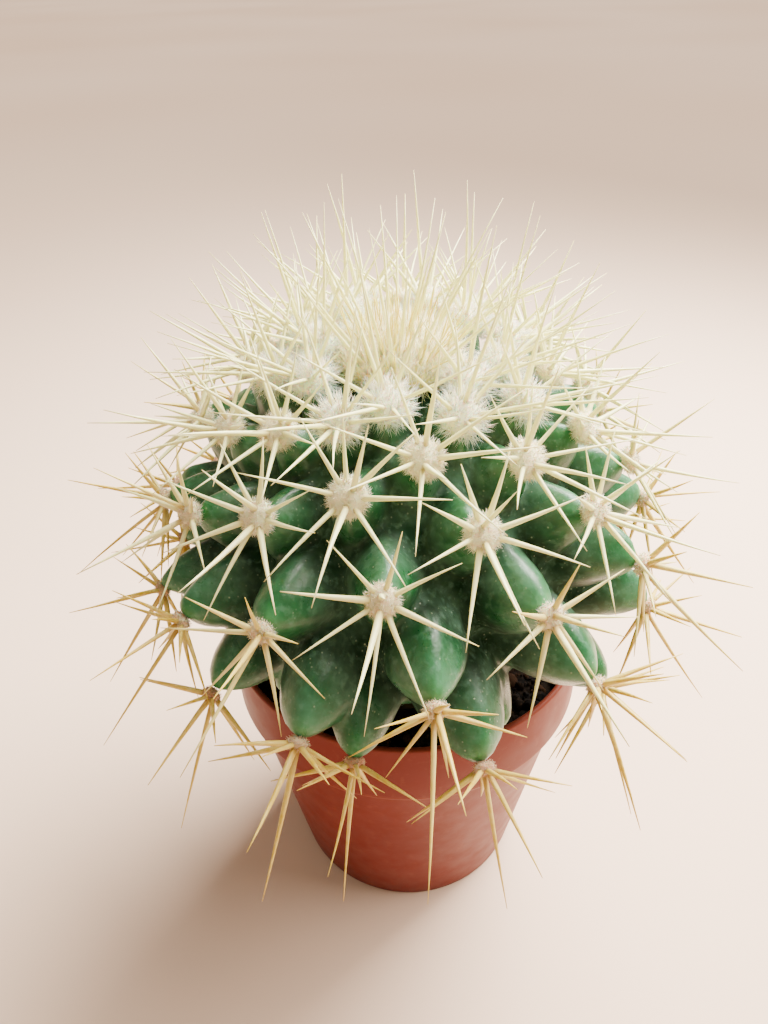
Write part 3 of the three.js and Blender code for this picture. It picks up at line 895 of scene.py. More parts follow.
@dataclass(frozen=True)
class BarrelForm:
    """The rule of the body: a spiral of tubercles on an oval, leaning core."""

    pot_height: float = 50  # Level of the pot's rim, from which the plant is placed.
    lean: tuple[float, float, float] = (0.052, -0.073, 1)  # Direction of the plant's own axis.
    plant_x: float = -2.8  # How far the plant stands off the pot's middle.
    centre_above_rim: float = 15.8  # Height of the body's centre over the rim.
    areole_reach: float = 36.5  # Distance of the areoles from the axis at the widest.
    areole_top: float = 32  # Height of the crown's areoles over the centre.
    areole_under: float = 8.8  # Depth of the lowest areoles under the centre.
    lopsided: float = 0.057  # Share by which one side is broader.
    oval: float = -0.061  # Share by which it is broader one way than the other.
    # Half breadth, top and underside of the core that the valleys reach.
    core: tuple[float, float, float] = (26, 28, 15)
    neck: tuple[float, float] = (17, 27)  # Radius and depth of the neck in the peat.
    front_azimuth: float = 267.8  # Azimuth of areole 0.
    divergence: float = 137.72  # Turn from one areole to the next.
    # Square and cube terms of the turn, over `twist_span` areoles.
    twist: tuple[float, float] = (-2.87, -1.55)
    twist_span: float = 30  # Number of areoles that the twist is given for.
    front_polar: float = 54  # Polar angle of areole 0.
    polar_step: float = 1.3645  # Fall of the polar angle from one areole to the next.
    polar_ease: float = 0.0099  # Square term of the polar angle.
    lowest: int = -47  # First tubercle, without an areole that shows.
    lowest_areole: int = -34  # First tubercle that has an areole.
    first_crown: int = 22  # First areole that belongs to the crown.
    last: int = 37  # Last areole.
    hump_width: float = 6.5  # Half width of a hump at the widest.
    hump_narrowing: float = 0.5  # Power by which humps narrow to the crown.
    hump_depth: float = 1.3  # Fall of a hump over one width, in widths.
    hump_power: float = 1.65  # Power of that fall.
    hump_length: float = 1.35  # Length of the upper slope, in widths.
    droop_most: float = 38  # Largest angle by which the cushions face down.
    droop_shift: float = 1.7  # How far the hump's top then lies over the areole.
    # Elevations that the lowest and the front cushions face, and their easing.
    facing: tuple[float, float, float] = (-38, 37, 12)
    felt_old: tuple[float, float] = (1.25, 1.1)  # Radius and height of the lowest cushions.
    felt_young: tuple[float, float] = (2.35, 2.0)  # Radius and height of the crown's cushions.
    felt_growth: tuple[float, float] = (-22, 18)  # Tubercles between which the cushions grow.
    felt_sunk: float = 0.7  # Share of a cushion's height that is sunk in its tip.
    clear: float = 0.35  # Gap between a cushion and the skin.
    crease: float = 1.5  # How sharp the valleys are, per millimetre.
    # How flat a hump is between the soft ridges up, down and to its sides.
    flanks: float = 0.12
    seen: float = 0.3  # Cosine of the angle from a hump's top past which it counts for nothing.
    unseen: float = 1e6  # How far it has fallen off there.

    def placed(self) -> Matrix:
        """Matrix that puts the plant's own frame into the pot's, in millimetres.

        Returns:
            The matrix.
        """
        lean = Vector(self.lean).normalized()
        turn = Vector((0, 0, 1)).rotation_difference(lean).to_matrix().to_4x4()
        foot = Matrix.Translation((self.plant_x, 0, self.pot_height))
        return foot @ turn @ Matrix.Translation((0, 0, self.centre_above_rim))

    def in_pot(self, points: Array) -> Array:
        """Turns points of the plant's own frame to the pot's frame."""
        matrix = np.array(self.placed())
        return np.atleast_2d(points) @ matrix[:3, :3].T + matrix[:3, 3]

    def turned(self, directions: Array) -> Array:
        """Turns directions of the plant's own frame to the pot's frame."""
        return np.atleast_2d(directions) @ np.array(self.placed())[:3, :3].T

    def breadth(self, rays: Array) -> Array:
        """Share of the mean breadth in each level direction.

        Args:
            rays: Directions of length one from the body's centre.

        Returns:
            The share in each direction.
        """
        level = np.maximum(np.hypot(rays[:, 0], rays[:, 1]), TINY)
        across = rays[:, 0] / level
        return 1 + self.lopsided * across + self.oval * (2 * across**2 - 1)

    def felt(self, order: int) -> tuple[float, float]:
        """Radius and height of a cushion: large near the crown, small on the lowest.

        Args:
            order: The tubercle's number.

        Returns:
            The radius and the height.
        """
        low, high = self.felt_growth
        share = min(max((order - low) / (high - low), 0), 1)
        share = share * share * (3 - 2 * share)
        radius, height = (a + (b - a) * share for a, b in zip(self.felt_old, self.felt_young))
        return radius, height

    def tubercle(self, order: int) -> Tubercle:
        """Works out one tubercle.

        Args:
            order: Its number in the spiral.

        Returns:
            The tubercle.
        """
        turn = order / self.twist_span
        twist = self.twist[0] * turn**2, self.twist[1] * turn**3
        azimuth = self.front_azimuth + self.divergence * order + twist[0] + twist[1]
        azimuth = math.radians(azimuth)
        polar = self.front_polar - self.polar_step * order + self.polar_ease * order**2
        polar = math.radians(polar)
        out = np.array([math.cos(azimuth), math.sin(azimuth), 0.0])
        side = np.array([-out[1], out[0], 0.0])
        half = self.areole_top if polar < math.pi / 2 else self.areole_under
        broad = self.areole_reach * self.breadth(out[None])[0] * math.sin(polar)
        place = out * broad + np.array([0, 0, half * math.cos(polar)])
        radius, height = self.felt(order)
        reach = float(np.linalg.norm(place)) - height * self.felt_sunk
        aim = unit(place)
        up = np.cross(aim, side)
        low, front, ease = self.facing
        faces = math.radians(low + (front - low) * math.exp(order / ease))
        wanted = math.asin(aim[2]) - faces if order < 0 else 0.0
        droop = min(max(0.0, wanted), math.radians(self.droop_most))
        share = droop / math.radians(self.droop_most)
        width = self.hump_width * math.sin(polar) ** self.hump_narrowing
        top = unit(aim + up * self.droop_shift * share / reach)
        return Tubercle(
            order=order,
            aim=aim,
            side=side,
            axis=aim * math.cos(droop) - up * math.sin(droop),
            top=top,
            top_up=unit(np.cross(top, side)),
            reach=reach,
            width=width,
            depth=self.hump_depth * width,
            downhill=self.hump_length + (1 - self.hump_length) * share,
            felt_radius=radius,
            felt_height=height,
        )

    def tubercles(self, first: int | None = None, past: int | None = None) -> list[Tubercle]:
        """Tubercles from the lowest or another to the crown's last, or to before another."""
        first = self.lowest if first is None else first
        return [self.tubercle(n) for n in range(first, past or self.last + 1)]

    def fall(self, t: Tubercle, rays: Array) -> Array:
        """How far a hump falls off below its top in each direction.

        Args:
            t: The tubercle.
            rays: Directions of length one from the body's centre.

        Returns:
            The fall in each direction.
        """
        ahead = rays @ t.top
        scale = self.areole_reach / np.maximum(ahead, self.seen) / t.width
        across = (rays @ t.side) * scale
        along = (rays @ t.top_up) * scale
        along = along / np.where(along > 0, self.hump_length, t.downhill)
        far = np.hypot(across, along)
        corner = 2 * across * along / np.maximum(far**2, TINY)
        far = far * (1 + self.flanks * corner**2)
        return np.where(ahead < self.seen, self.unseen, t.depth * far**self.hump_power)

    def top_reach(self, t: Tubercle) -> float:
        """Reach of a hump's top, from that of its areole."""
        return t.reach + float(self.fall(t, t.aim[None])[0])

    def core_reach(self, rays: Array) -> Array:
        """Reach of the core and of the neck under it in each direction.

        Args:
            rays: Directions of length one from the body's centre.

        Returns:
            The reach in each direction.
        """
        wide, top, under = self.core
        radius, depth = self.neck
        level = np.maximum(np.hypot(rays[:, 0], rays[:, 1]), TINY)
        half = np.where(rays[:, 2] < 0, under, top)
        core = 1 / np.hypot(level / (wide * self.breadth(rays)), rays[:, 2] / half)
        neck = np.minimum(radius / level, depth / np.maximum(-rays[:, 2], TINY))
        return np.where(rays[:, 2] < 0, np.maximum(core, neck), core)

    def skin_reach(self, rays: Array) -> Array:
        """Reach of the skin in each direction: the highest of core and humps, blended.

        Args:
            rays: Directions of length one from the body's centre.

        Returns:
            The reach in each direction.
        """
        humps = [self.top_reach(t) - self.fall(t, rays) for t in self.tubercles()]
        stack = np.array([self.core_reach(rays), *humps])
        most = stack.max(axis=0)
        total = np.exp(self.crease * (stack - most)).sum(axis=0)
        return most + np.log(total) / self.crease

    def foot(self, t: Tubercle, over: float = 0.0) -> Array:
        """Where a tubercle's cushion sits, clear of the skin and a little over that."""
        return t.aim * (self.skin_reach(t.aim[None])[0] + (self.clear + over))

    def node_of(self, t: Tubercle) -> str:
        """Name of the solid that holds a tubercle's areole."""
        in_crown = t.order >= self.first_crown
        return "crown" if in_crown else f"areole_{t.order - self.lowest_areole + 1}"


FORM = BarrelForm()


@dataclass
class BarrelBody:
    """The green body, pushed out of a fine ball by the rule of the tubercles."""

    fineness: int = 7  # Subdivisions of the ball.
    middle: float = 33  # Reach round which the blend is worked out.
    lump: float = 1.6  # Height of the soft unevenness of the skin.
    lump_size: float = 5
    lump_detail: float = 2  # How many finer octaves the lumps have.
    off_tip: float = 9  # Distance from a tip that counts as off them all, in widths.
    behind: float = 100  # Distance that a hump gets which faces away, in widths.
    finish: WaxySkin = field(default_factory=WaxySkin)

    def table(self) -> Piece:
        """An object with a point a tubercle, with what the tree needs to know of it.

        Returns:
            The object.
        """
        humps = FORM.tubercles()
        mesh = mesh_of(
            "tubercle_table",
            [t.aim * t.reach for t in humps],
            top=[t.top for t in humps],
            across=[t.side * (FORM.areole_reach / t.width) for t in humps],
            along=[t.top_up * (FORM.areole_reach / t.width) for t in humps],
            form=[(FORM.top_reach(t), t.depth, t.downhill) for t in humps],
        )
        return object_of("tubercle_table", mesh)

    def ball(self) -> Mesh:
        """A ball of radius one, with the core's reach and the age on its points.

        Returns:
            The ball's mesh.
        """
        mesh = bpy.data.meshes.new("ball")
        shape = bmesh.new()
        bmesh.ops.create_icosphere(shape, subdivisions=self.fineness, radius=1)
        rays = unit(np.array([v.co for v in shape.verts]))
        shape.to_mesh(mesh)
        shape.free()
        return carry(mesh, core=FORM.core_reach(rays), age=np.arccos(rays[:, 2]) / math.pi)

    def weight(self, growth: Growth, reach: Socket) -> Socket:
        """Weight of a reach in the blend, which is large where it is the highest.

        Args:
            growth: The tree.
            reach: Reach of the core or of a hump.

        Returns:
            The weight.
        """
        middle, crease = growth.given["middle"], growth.given["crease"]
        over = add(growth.tree, Node.MATH, reach, middle, operation="SUBTRACT")
        over = add(growth.tree, Node.MATH, over, crease, operation="MULTIPLY")
        return add(growth.tree, Node.MATH, over, operation="EXPONENT")

    def hump(self, growth: Growth, ray: Socket, known: dict[str, Socket]) -> list[Socket]:
        """Works out one hump.

        Args:
            growth: The tree.
            ray: Direction of each point.
            known: What the table says of the hump.

        Returns:
            The hump's reach in each direction, and the distance from its tip, in widths.
        """
        tree, given = growth.tree, growth.given
        top_reach, depth, downhill = add(tree, Node.SEPARATE, known["form"]).node.outputs
        ahead, *spread = (
            add(tree, Node.VECTOR, ray, known[name], out="Value", operation="DOT_PRODUCT")
            for name in ("top", "across", "along")
        )
        behind = add(tree, Node.MATH, ahead, FORM.seen, operation="LESS_THAN")
        ahead = add(tree, Node.MATH, ahead, FORM.seen, operation="MAXIMUM")
        across, along = (add(tree, Node.MATH, s, ahead, operation="DIVIDE") for s in spread)
        upper = add(tree, Node.MATH, along, 0.0, operation="GREATER_THAN")
        longer = add(tree, Node.MATH, given["uphill"], downhill, operation="SUBTRACT")
        slope = add(tree, Node.MATH, upper, longer, downhill, operation="MULTIPLY_ADD")
        along = add(tree, Node.MATH, along, slope, operation="DIVIDE")
        behind = add(tree, Node.MATH, behind, self.behind, operation="MULTIPLY")
        far = add(tree, Node.COMBINE, across, along, behind)
        far = add(tree, Node.VECTOR, far, out="Value", operation="LENGTH")
        corner = across
        steps = ("MULTIPLY", along), ("DIVIDE", far), ("DIVIDE", far), ("POWER", 2.0)
        for operation, other in steps:
            corner = add(tree, Node.MATH, corner, other, operation=operation)
        corner = add(tree, Node.MATH, corner, given["flanks"], 1.0, operation="MULTIPLY_ADD")
        far = add(tree, Node.MATH, far, corner, operation="MULTIPLY")
        drop = add(tree, Node.MATH, far, given["fall_power"], operation="POWER")
        drop = add(tree, Node.MATH, drop, depth, operation="MULTIPLY")
        return [add(tree, Node.MATH, top_reach, drop, operation="SUBTRACT"), far]

    def tree(self, table: Piece) -> Growth:
        """The tree that raises one hump after another and blends them.

        Args:
            table: The object that has a point for each tubercle.

        Returns:
            The tree, ready to run on the ball.
        """
        growth = Growth(
            "tubercled_skin",
            tubercles=table,
            crease=FORM.crease,
            middle=float(self.middle),
            uphill=FORM.hump_length,
            fall_power=FORM.hump_power,
            flanks=4 * FORM.flanks,
            lump=self.lump,
            lump_scale=1 / self.lump_size,
            finish=self.finish.material(),
        )
        tree, given = growth.tree, growth.given
        points = add(tree, Node.OBJECT, {"Object": given["tubercles"]}, out="Geometry")
        count = add(tree, Node.COUNT, points, out="Point Count", component="MESH")
        ray = add(tree, Node.VECTOR, add(tree, Node.POSITION), operation="NORMALIZE")
        carried = growth.carried("core swell off_tip", "top across along form")
        swell = {"Name": "swell", "Value": self.weight(growth, carried["core"])}
        ground = add(tree, Node.STORE, given["Geometry"], swell)
        ground = add(tree, Node.STORE, ground, {"Name": "off_tip", "Value": self.off_tip})

        again = tree.nodes.new("GeometryNodeRepeatInput")
        until = tree.nodes.new("GeometryNodeRepeatOutput")
        again.pair_with_output(until)
        fill(tree, again, {"Iterations": count, "Geometry": ground})
        turn = again.outputs["Iteration"]
        known = {
            name: add(tree, Node.SAMPLE, points, carried[name], turn, data_type="FLOAT_VECTOR")
            for name in ("top", "across", "along", "form")
        }
        reach, far = self.hump(growth, ray, known)
        weight = self.weight(growth, reach)
        swell = add(tree, Node.MATH, carried["swell"], weight, operation="ADD")
        nearest = add(tree, Node.MATH, carried["off_tip"], far, operation="MINIMUM")
        raised = again.outputs["Geometry"]
        for name, value in (("swell", swell), ("off_tip", nearest)):
            raised = add(tree, Node.STORE, raised, {"Name": name, "Value": value})
        fill(tree, until, {"Geometry": raised})

        reach = add(tree, Node.MATH, carried["swell"], math.e, operation="LOGARITHM")
        reach = add(tree, Node.MATH, reach, given["crease"], operation="DIVIDE")
        reach = add(tree, Node.MATH, reach, given["middle"], operation="ADD")
        skin = add(tree, Node.VECTOR, ray, {"Scale": reach}, operation="SCALE")
        wires = {"Vector": skin, "Scale": given["lump_scale"], "Detail": self.lump_detail}
        lumps = add(tree, Node.MATH, add(tree, Node.NOISE, wires), MEAN, operation="SUBTRACT")
        reach = add(tree, Node.MATH, lumps, given["lump"], reach, operation="MULTIPLY_ADD")
        reach = add(tree, Node.MATH, reach, MM, operation="MULTIPLY")
        skin = add(tree, Node.VECTOR, ray, {"Scale": reach}, operation="SCALE")
        growth.end(add(tree, Node.MOVE, until.outputs["Geometry"], {"Position": skin}))
        return growth

    def build(self) -> list[Piece]:
        """Grows the body and puts it in its place in the pot.

        Returns:
            The body.
        """
        table = self.table()
        piece = self.tree(table).run("barrel_body", self.ball())
        bpy.data.objects.remove(table)
        matrix = FORM.placed()
        matrix.translation *= MM
        piece.data.transform(matrix)
        return [settled(piece, ["cactus_body"])]


# Spines


@dataclass(frozen=True)
class Spine:
    """One spine."""

    root: Array  # Its foot in the felt.
    tip: Array  # Its point.
    order: int  # The number of its tubercle, or one past the last in the crown's tuft.
    node: str  # The solid that it is in.


@dataclass
class SpineFinder:
    """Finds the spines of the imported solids, so that the fine ones lie where they do.

    A spine's point is a corner whose edges all run back the same way.
    """

    widest: float = 7  # Largest angle between an edge at a point and the spine.
    weld: float = 0.002  # Corners closer than this are the same.
    shortest: float = 4  # Least length of a spine.
    belt: float = 0.42  # Share of a cushion's height at which its spines start.
    near: float = 1.1  # How close a crown spine's line passes to its own cushion.
    tuft_reach: float = 29.8  # Distance of the tuft's roots from the body's centre.

    def points(self, name: str) -> list[tuple[Array, Array]]:
        """Finds the points of a solid's spines.

        Args:
            name: The solid's name.

        Returns:
            For each spine its point, in millimetres, and the way back to its root.
        """
        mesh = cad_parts[name].data
        loose = np.array([v.co for v in mesh.vertices]) / MM
        cells = np.round(loose / self.weld).astype(np.int64)
        _, first, merged = np.unique(cells, axis=0, return_index=True, return_inverse=True)
        corners, merged = loose[first], merged.ravel()
        ends: dict[int, set[int]] = {}
        for face in mesh.polygons:
            loop = [int(merged[v]) for v in face.vertices]
            for a in loop:
                ends.setdefault(a, set()).update(b for b in loop if b != a)
        found = []
        for corner, others in ends.items():
            edges = corners[sorted(others)] - corners[corner]
            lengths = np.linalg.norm(edges, axis=1)
            if len(others) < 3 or lengths.max() < self.shortest:
                continue
            rays = edges / lengths[:, None]
            back = unit(rays.mean(axis=0))
            if (rays @ back).min() > math.cos(math.radians(self.widest)):
                found.append((corners[corner], back))
        return found

    def seat(self, t: Tubercle) -> Array:
        """Middle of the ring from which a cushion's spines start, in the pot's frame."""
        return FORM.in_pot(FORM.foot(t) + t.axis * self.belt * t.felt_height)[0]

    def spines(self) -> list[Spine]:
        """Reads every spine of the plant.

        Returns:
            The spines, from the lowest areole to the tuft.
        """
        found = []
        for t in FORM.tubercles(FORM.lowest_areole, FORM.first_crown):
            seat, name = self.seat(t), FORM.node_of(t)
            for tip, back in self.points(name):
                length = float((seat - tip) @ back)
                found.append(Spine(tip + back * length, tip, t.order, name))
        crown = np.array([self.seat(t) for t in FORM.tubercles(FORM.first_crown)])
        for tip, back in self.points("crown"):
            along = (crown - tip) @ back
            off = np.linalg.norm(crown - tip - along[:, None] * back, axis=1)
            off[along < self.shortest] = np.inf
            best = int(off.argmin())
            if off[best] < self.near:
                root, order = tip + back * along[best], FORM.first_crown + best
            else:
                root, order = self.on_ball(tip, back), FORM.last + 1
            found.append(Spine(root, tip, order, "crown"))
        return found

    def on_ball(self, tip: Array, back: Array) -> Array:
        """Where a tuft spine's line meets the ball that carries the tuft's roots.

        Args:
            tip: The spine's point.
            back: The way back to its root.

        Returns:
            The spine's root.
        """
        centre = FORM.in_pot(np.zeros(3))[0]
        middle = float((centre - tip) @ back)
        off = float(np.linalg.norm(tip + back * middle - centre))
        half = math.sqrt(max(self.tuft_reach**2 - off**2, 0.0))
        return tip + back * (middle - half)


@dataclass
class SpineTree:
    """Tapered, slightly bowed spines on points that know their direction and size."""

    sides: int = 6
    rings: int = 4  # Steps from root to point.
    blunt: float = 0.1  # Radius at the point, in root radii.
    full: float = 0.7  # How much thicker the middle is than in a straight taper.

    def arch(self, tree: Tree, share: Socket, rise: Wire) -> Socket:
        """An arch over the way from 0 to 1; it is a quarter of the rise high.

        Args:
            tree: The spines' tree.
            share: The way from 0 to 1.
            rise: How steeply the arch starts.

        Returns:
            Its height on the way.
        """
        rest = add(tree, Node.MATH, 1.0, share, operation="SUBTRACT")
        arch = add(tree, Node.MATH, share, rest, operation="MULTIPLY")
        return add(tree, Node.MATH, arch, rise, operation="MULTIPLY")

    def grow(self, name: str, finish: Finish, points: Mesh) -> Piece:
        """Grows a spine on each point.

        Args:
            name: The piece's name.
            finish: The spines' finish.
            points: Points with `aim`, `thick`, `long`, `bow` and `gold`.

        Returns:
            The piece.
        """
        growth = Growth(
            name,
            sides=self.sides,
            rings=self.rings,
            blunt=self.blunt,
            full=self.full,
            finish=finish.material(),
        )
        tree, given = growth.tree, growth.given
        known = growth.carried("thick long along", "aim bow")
        cone = growth.taper(given["sides"], given["rings"], given["blunt"])
        place = add(tree, Node.POSITION)
        fuller = self.arch(tree, add(tree, Node.SEPARATE, place, out="Z"), given["full"])
        level = add(tree, Node.VECTOR, place, (1.0, 1.0, 0.0), operation="MULTIPLY")
        fuller = add(tree, Node.VECTOR, level, {"Scale": fuller}, operation="SCALE")
        cone = add(tree, Node.MOVE, cone, {"Offset": fuller})
        turn = add(tree, Node.ALIGN, {"Vector": known["aim"]}, axis="Z")
        size = add(tree, Node.COMBINE, known["thick"], known["thick"], known["long"])
        spines = growth.planted(given["Geometry"], cone, turn, size)
        bend = {"Scale": self.arch(tree, known["along"], 4.0)}
        bowed = add(tree, Node.VECTOR, known["bow"], bend, operation="SCALE")
        growth.end(add(tree, Node.MOVE, spines, {"Offset": bowed}))
        return growth.run(name, points)


@dataclass
class SpineCover:
    """All spines of the areoles and of the crown's tuft."""

    root_radius: float = 0.36
    varied: float = 0.16  # Share by which the radius varies.
    # Tubercle from which spines get younger, and after how many more they are young.
    young: tuple[float, float] = (8, 20)
    slender: float = 0.24  # Share by which the crown's spines are thinner.
    stretch: float = 0.07  # Share by which the crown's spines are longer than the solid's.
    bow: float = 0.018  # Largest bow, as a share of the length.
    gold_from: float = 0.455  # Age, from 0 to 1, at which spines start to turn golden.
    gold_gain: float = 6.5  # How fast they then turn golden.
    # Spines that point up are painted more golden: painted shade on them.
    gold_up: float = 0.4  # How much more golden the spines are that point up.
    gold_varied: float = 0.1  # How far single spines differ in it.
    seed: int = 31
    finish: HornySpine = field(default_factory=HornySpine)

    def points(self, name: str, spines: Sequence[Spine]) -> Mesh:
        """One point a spine, with its direction, size, bow and colour.

        Args:
            name: The mesh's name.
            spines: The spines.

        Returns:
            The points.
        """
        chance = np.random.default_rng(self.seed)
        roots = np.array([s.root for s in spines])
        run = np.array([s.tip for s in spines]) - roots
        long = np.linalg.norm(run, axis=1)
        aim = run / long[:, None]
        order = np.array([s.order for s in spines])
        young = np.clip((order - self.young[0]) / self.young[1], 0, 1)
        long = long * (1 + self.stretch * young)
        sideways = unit(np.cross(aim, chance.normal(size=aim.shape)))
        bow = sideways * (long * self.bow * chance.uniform(-1, 1, len(long)))[:, None]
        age = (FORM.last - order) / (FORM.last - FORM.lowest)
        gold = (age - self.gold_from) * self.gold_gain
        # More golden the more a spine points up: painted shade.
        gold = gold + self.gold_up * np.clip(aim[:, 2], 0, 1)
        gold = np.clip(gold + chance.normal(0, self.gold_varied, len(age)), 0, 1)
        thick = self.root_radius * (1 - self.slender * young)
        thick = thick * (1 + self.varied * chance.uniform(-1, 1, len(long)))
        sizes = {"long": long * MM, "thick": thick * MM, "bow": bow * MM}
        return mesh_of(name, roots, aim=aim, gold=gold, **sizes)

    def build(self) -> list[Piece]:
        """Grows the spines of the areoles, and those of the crown as a piece of their own.

        Returns:
            The two pieces.
        """
        found = SpineFinder().spines()
        pieces = []
        for name, in_crown, slot in (
            ("areole_spines", False, Slot.FELT),
            ("crown_spines", True, Slot.WOOL),
        ):
            spines = [s for s in found if (s.node == "crown") == in_crown]
            log.info("%s: %d spines", name, len(spines))
            piece = SpineTree().grow(name, self.finish, self.points(name, spines))
            pieces.append(settled(piece, sorted({s.node for s in spines})))
        return pieces


# Felt and wool


@dataclass
class FuzzTree:
    """Lumpy cushions covered in short hairs."""

    lump: float = 0.5  # Height of a cushion's lumps.
    lump_size: float = 1.0
    lump_detail: float = 3  # How many finer octaves the lumps have.
    roundness: int = 3  # Subdivisions of a cushion's ball.
    density: float = 22  # Hairs a square millimetre.
    # Radius of a hair at its root, thicker than a real one's so that it shows.
    hair_radius: float = 0.045
    hair_sides: int = 3
    # Shortest and longest hair, as shares of the cushion's own.
    uneven: tuple[float, float] = (0.55, 1.3)
    spread: float = 0.75  # How far hairs lean from the surface's own direction.
    curl: float = 0.25  # How far a hair wanders from a straight line.
    curl_size: float = 0.7  # Width of one wander.
    curl_detail: float = 1  # How many finer octaves the wander has.
    joints: int = 1  # Steps along a hair.
    seed: int = 5

    def cushions(self, growth: Growth, known: dict[str, Socket]) -> Socket:
        """Lumpy balls on the points.

        Args:
            growth: The tree.
            known: What the points carry.

        Returns:
            The bare cushions.
        """
        tree, given = growth.tree, growth.given
        ball = add(tree, Node.BALL, 1.0, given["roundness"])
        turn = add(tree, Node.ALIGN, {"Vector": known["aim"]}, axis="Z")
        size = add(tree, Node.COMBINE, known["wide"], known["wide"], known["high"])
        cushions = growth.planted(given["Geometry"], ball, turn, size)
        wires = {"Scale": given["lump_scale"], "Detail": self.lump_detail}
        lumps = add(tree, Node.MATH, add(tree, Node.NOISE, wires), MEAN, operation="SUBTRACT")
        lumps = add(tree, Node.MATH, lumps, given["lump"], operation="MULTIPLY")
        outward = add(tree, Node.NORMAL)
        lumps = add(tree, Node.VECTOR, outward, {"Scale": lumps}, operation="SCALE")
        return add(tree, Node.MOVE, cushions, {"Offset": lumps})

    def hairs(self, growth: Growth, known: dict[str, Socket], cushions: Socket) -> Socket:
        """Hairs all over the cushions.

        Args:
            growth: The tree.
            known: What the points carry.
            cushions: The bare cushions.

        Returns:
            The hairs.
        """
        tree, given = growth.tree, growth.given
        seed = {SEED: given["seed"]}
        wires = {"Density": given["density"], "Seed": given["seed"]}
        roots = add(tree, Node.SCATTER, cushions, wires)
        grow = roots.node.outputs["Normal"]
        least, most = (-1.0, -1.0, -1.0), (1.0, 1.0, 1.0)
        lean = add(tree, Node.CHANCE, least, most, seed, data_type="FLOAT_VECTOR")
        lean = add(tree, Node.VECTOR, lean, {"Scale": given["spread"]}, operation="SCALE")
        for other in (lean, known["grow"]):
            grow = add(tree, Node.VECTOR, grow, other, operation="ADD")
        tone = add(tree, Node.CHANCE, {SEED: Draw.HAIR_TONE}, out=DRAWN)
        roots = add(tree, Node.STORE, roots, {"Name": "tone", "Value": tone})
        turn = add(tree, Node.ALIGN, {"Vector": grow}, axis="Z")
        least, most = self.uneven
        wires = {LEAST: least, MOST: most, SEED: Draw.HAIR_LENGTH}
        uneven = add(tree, Node.CHANCE, wires, out=DRAWN)
        length = add(tree, Node.MATH, known["hair"], uneven, operation="MULTIPLY")
        size = add(tree, Node.COMBINE, given["hair_radius"], given["hair_radius"], length)
        hair = growth.taper(self.hair_sides, given["joints"], 0.0)
        hairs = growth.planted(roots, hair, turn, size)
        far = add(tree, Node.MATH, known["along"], given["curl"], operation="MULTIPLY")
        return growth.shaken(hairs, given["curl_scale"], self.curl_detail, far)

    def grow(self, name: str, finish: Finish, points: Mesh) -> Piece:
        """Grows a cushion on each point.

        Args:
            name: The piece's name.
            finish: The felt's finish.
            points: Points with `aim`, `wide`, `high`, `hair`, `grow`, `age` and `gold`.

        Returns:
            The piece.
        """
        growth = Growth(
            name,
            lump=self.lump * MM,
            lump_scale=1 / (self.lump_size * MM),
            roundness=self.roundness,
            density=self.density / MM**2,
            hair_radius=self.hair_radius * MM,
            spread=self.spread,
            curl=self.curl * MM,
            curl_scale=1 / (self.curl_size * MM),
            joints=self.joints,
            seed=self.seed,
            finish=finish.material(),
        )
        known = growth.carried("wide high hair along", "aim grow")
        cushions = self.cushions(growth, known)
        joined = growth.tree.nodes.new("GeometryNodeJoinGeometry")
        for part in (cushions, self.hairs(growth, known, cushions)):
            fill(growth.tree, joined, {0: part})
        growth.end(joined.outputs[0])
        return growth.run(name, points)


@dataclass
class AreoleFelt:
    """The felt cushions on the tubercle tips below the crown."""

    over: float = 0.34  # How far a cushion's middle lies over the skin, in cushion heights.
    wider: float = 0.92  # Breadth of a cushion, in the solid's.
    higher: float = 0.66  # Half height of a cushion, in the solid's height.
    # Length of the hairs on the lowest cushions and near the crown.
    hair: tuple[float, float] = (0.28, 0.75)
    # How brown the lowest are, and how much less those near the crown.
    browned: tuple[float, float] = (1.15, 1.6)
    finish: WoollyFelt = field(default_factory=WoollyFelt)

    def build(self) -> list[Piece]:
        """Grows all cushions as one piece.

        Returns:
            The felt.
        """
        owners = FORM.tubercles(FORM.lowest_areole, FORM.first_crown)
        count = len(owners)
        youth = np.array([(t.order - FORM.lowest_areole) / count for t in owners])
        feet = np.array([FORM.foot(t, self.over * t.felt_height) for t in owners])
        points = mesh_of(
            "felt_points",
            FORM.in_pot(feet),
            aim=FORM.turned(np.array([t.axis for t in owners])),
            wide=[t.felt_radius * self.wider * MM for t in owners],
            high=[t.felt_height * self.higher * MM for t in owners],
            hair=(self.hair[0] + (self.hair[1] - self.hair[0]) * youth) * MM,
            grow=np.zeros((count, 3)),
            age=np.clip(self.browned[0] - youth * self.browned[1], 0, 1),
            gold=np.zeros(count),
        )
        piece = FuzzTree().grow("areole_felt", self.finish, points)
        return [settled(piece, [FORM.node_of(t) for t in owners])]


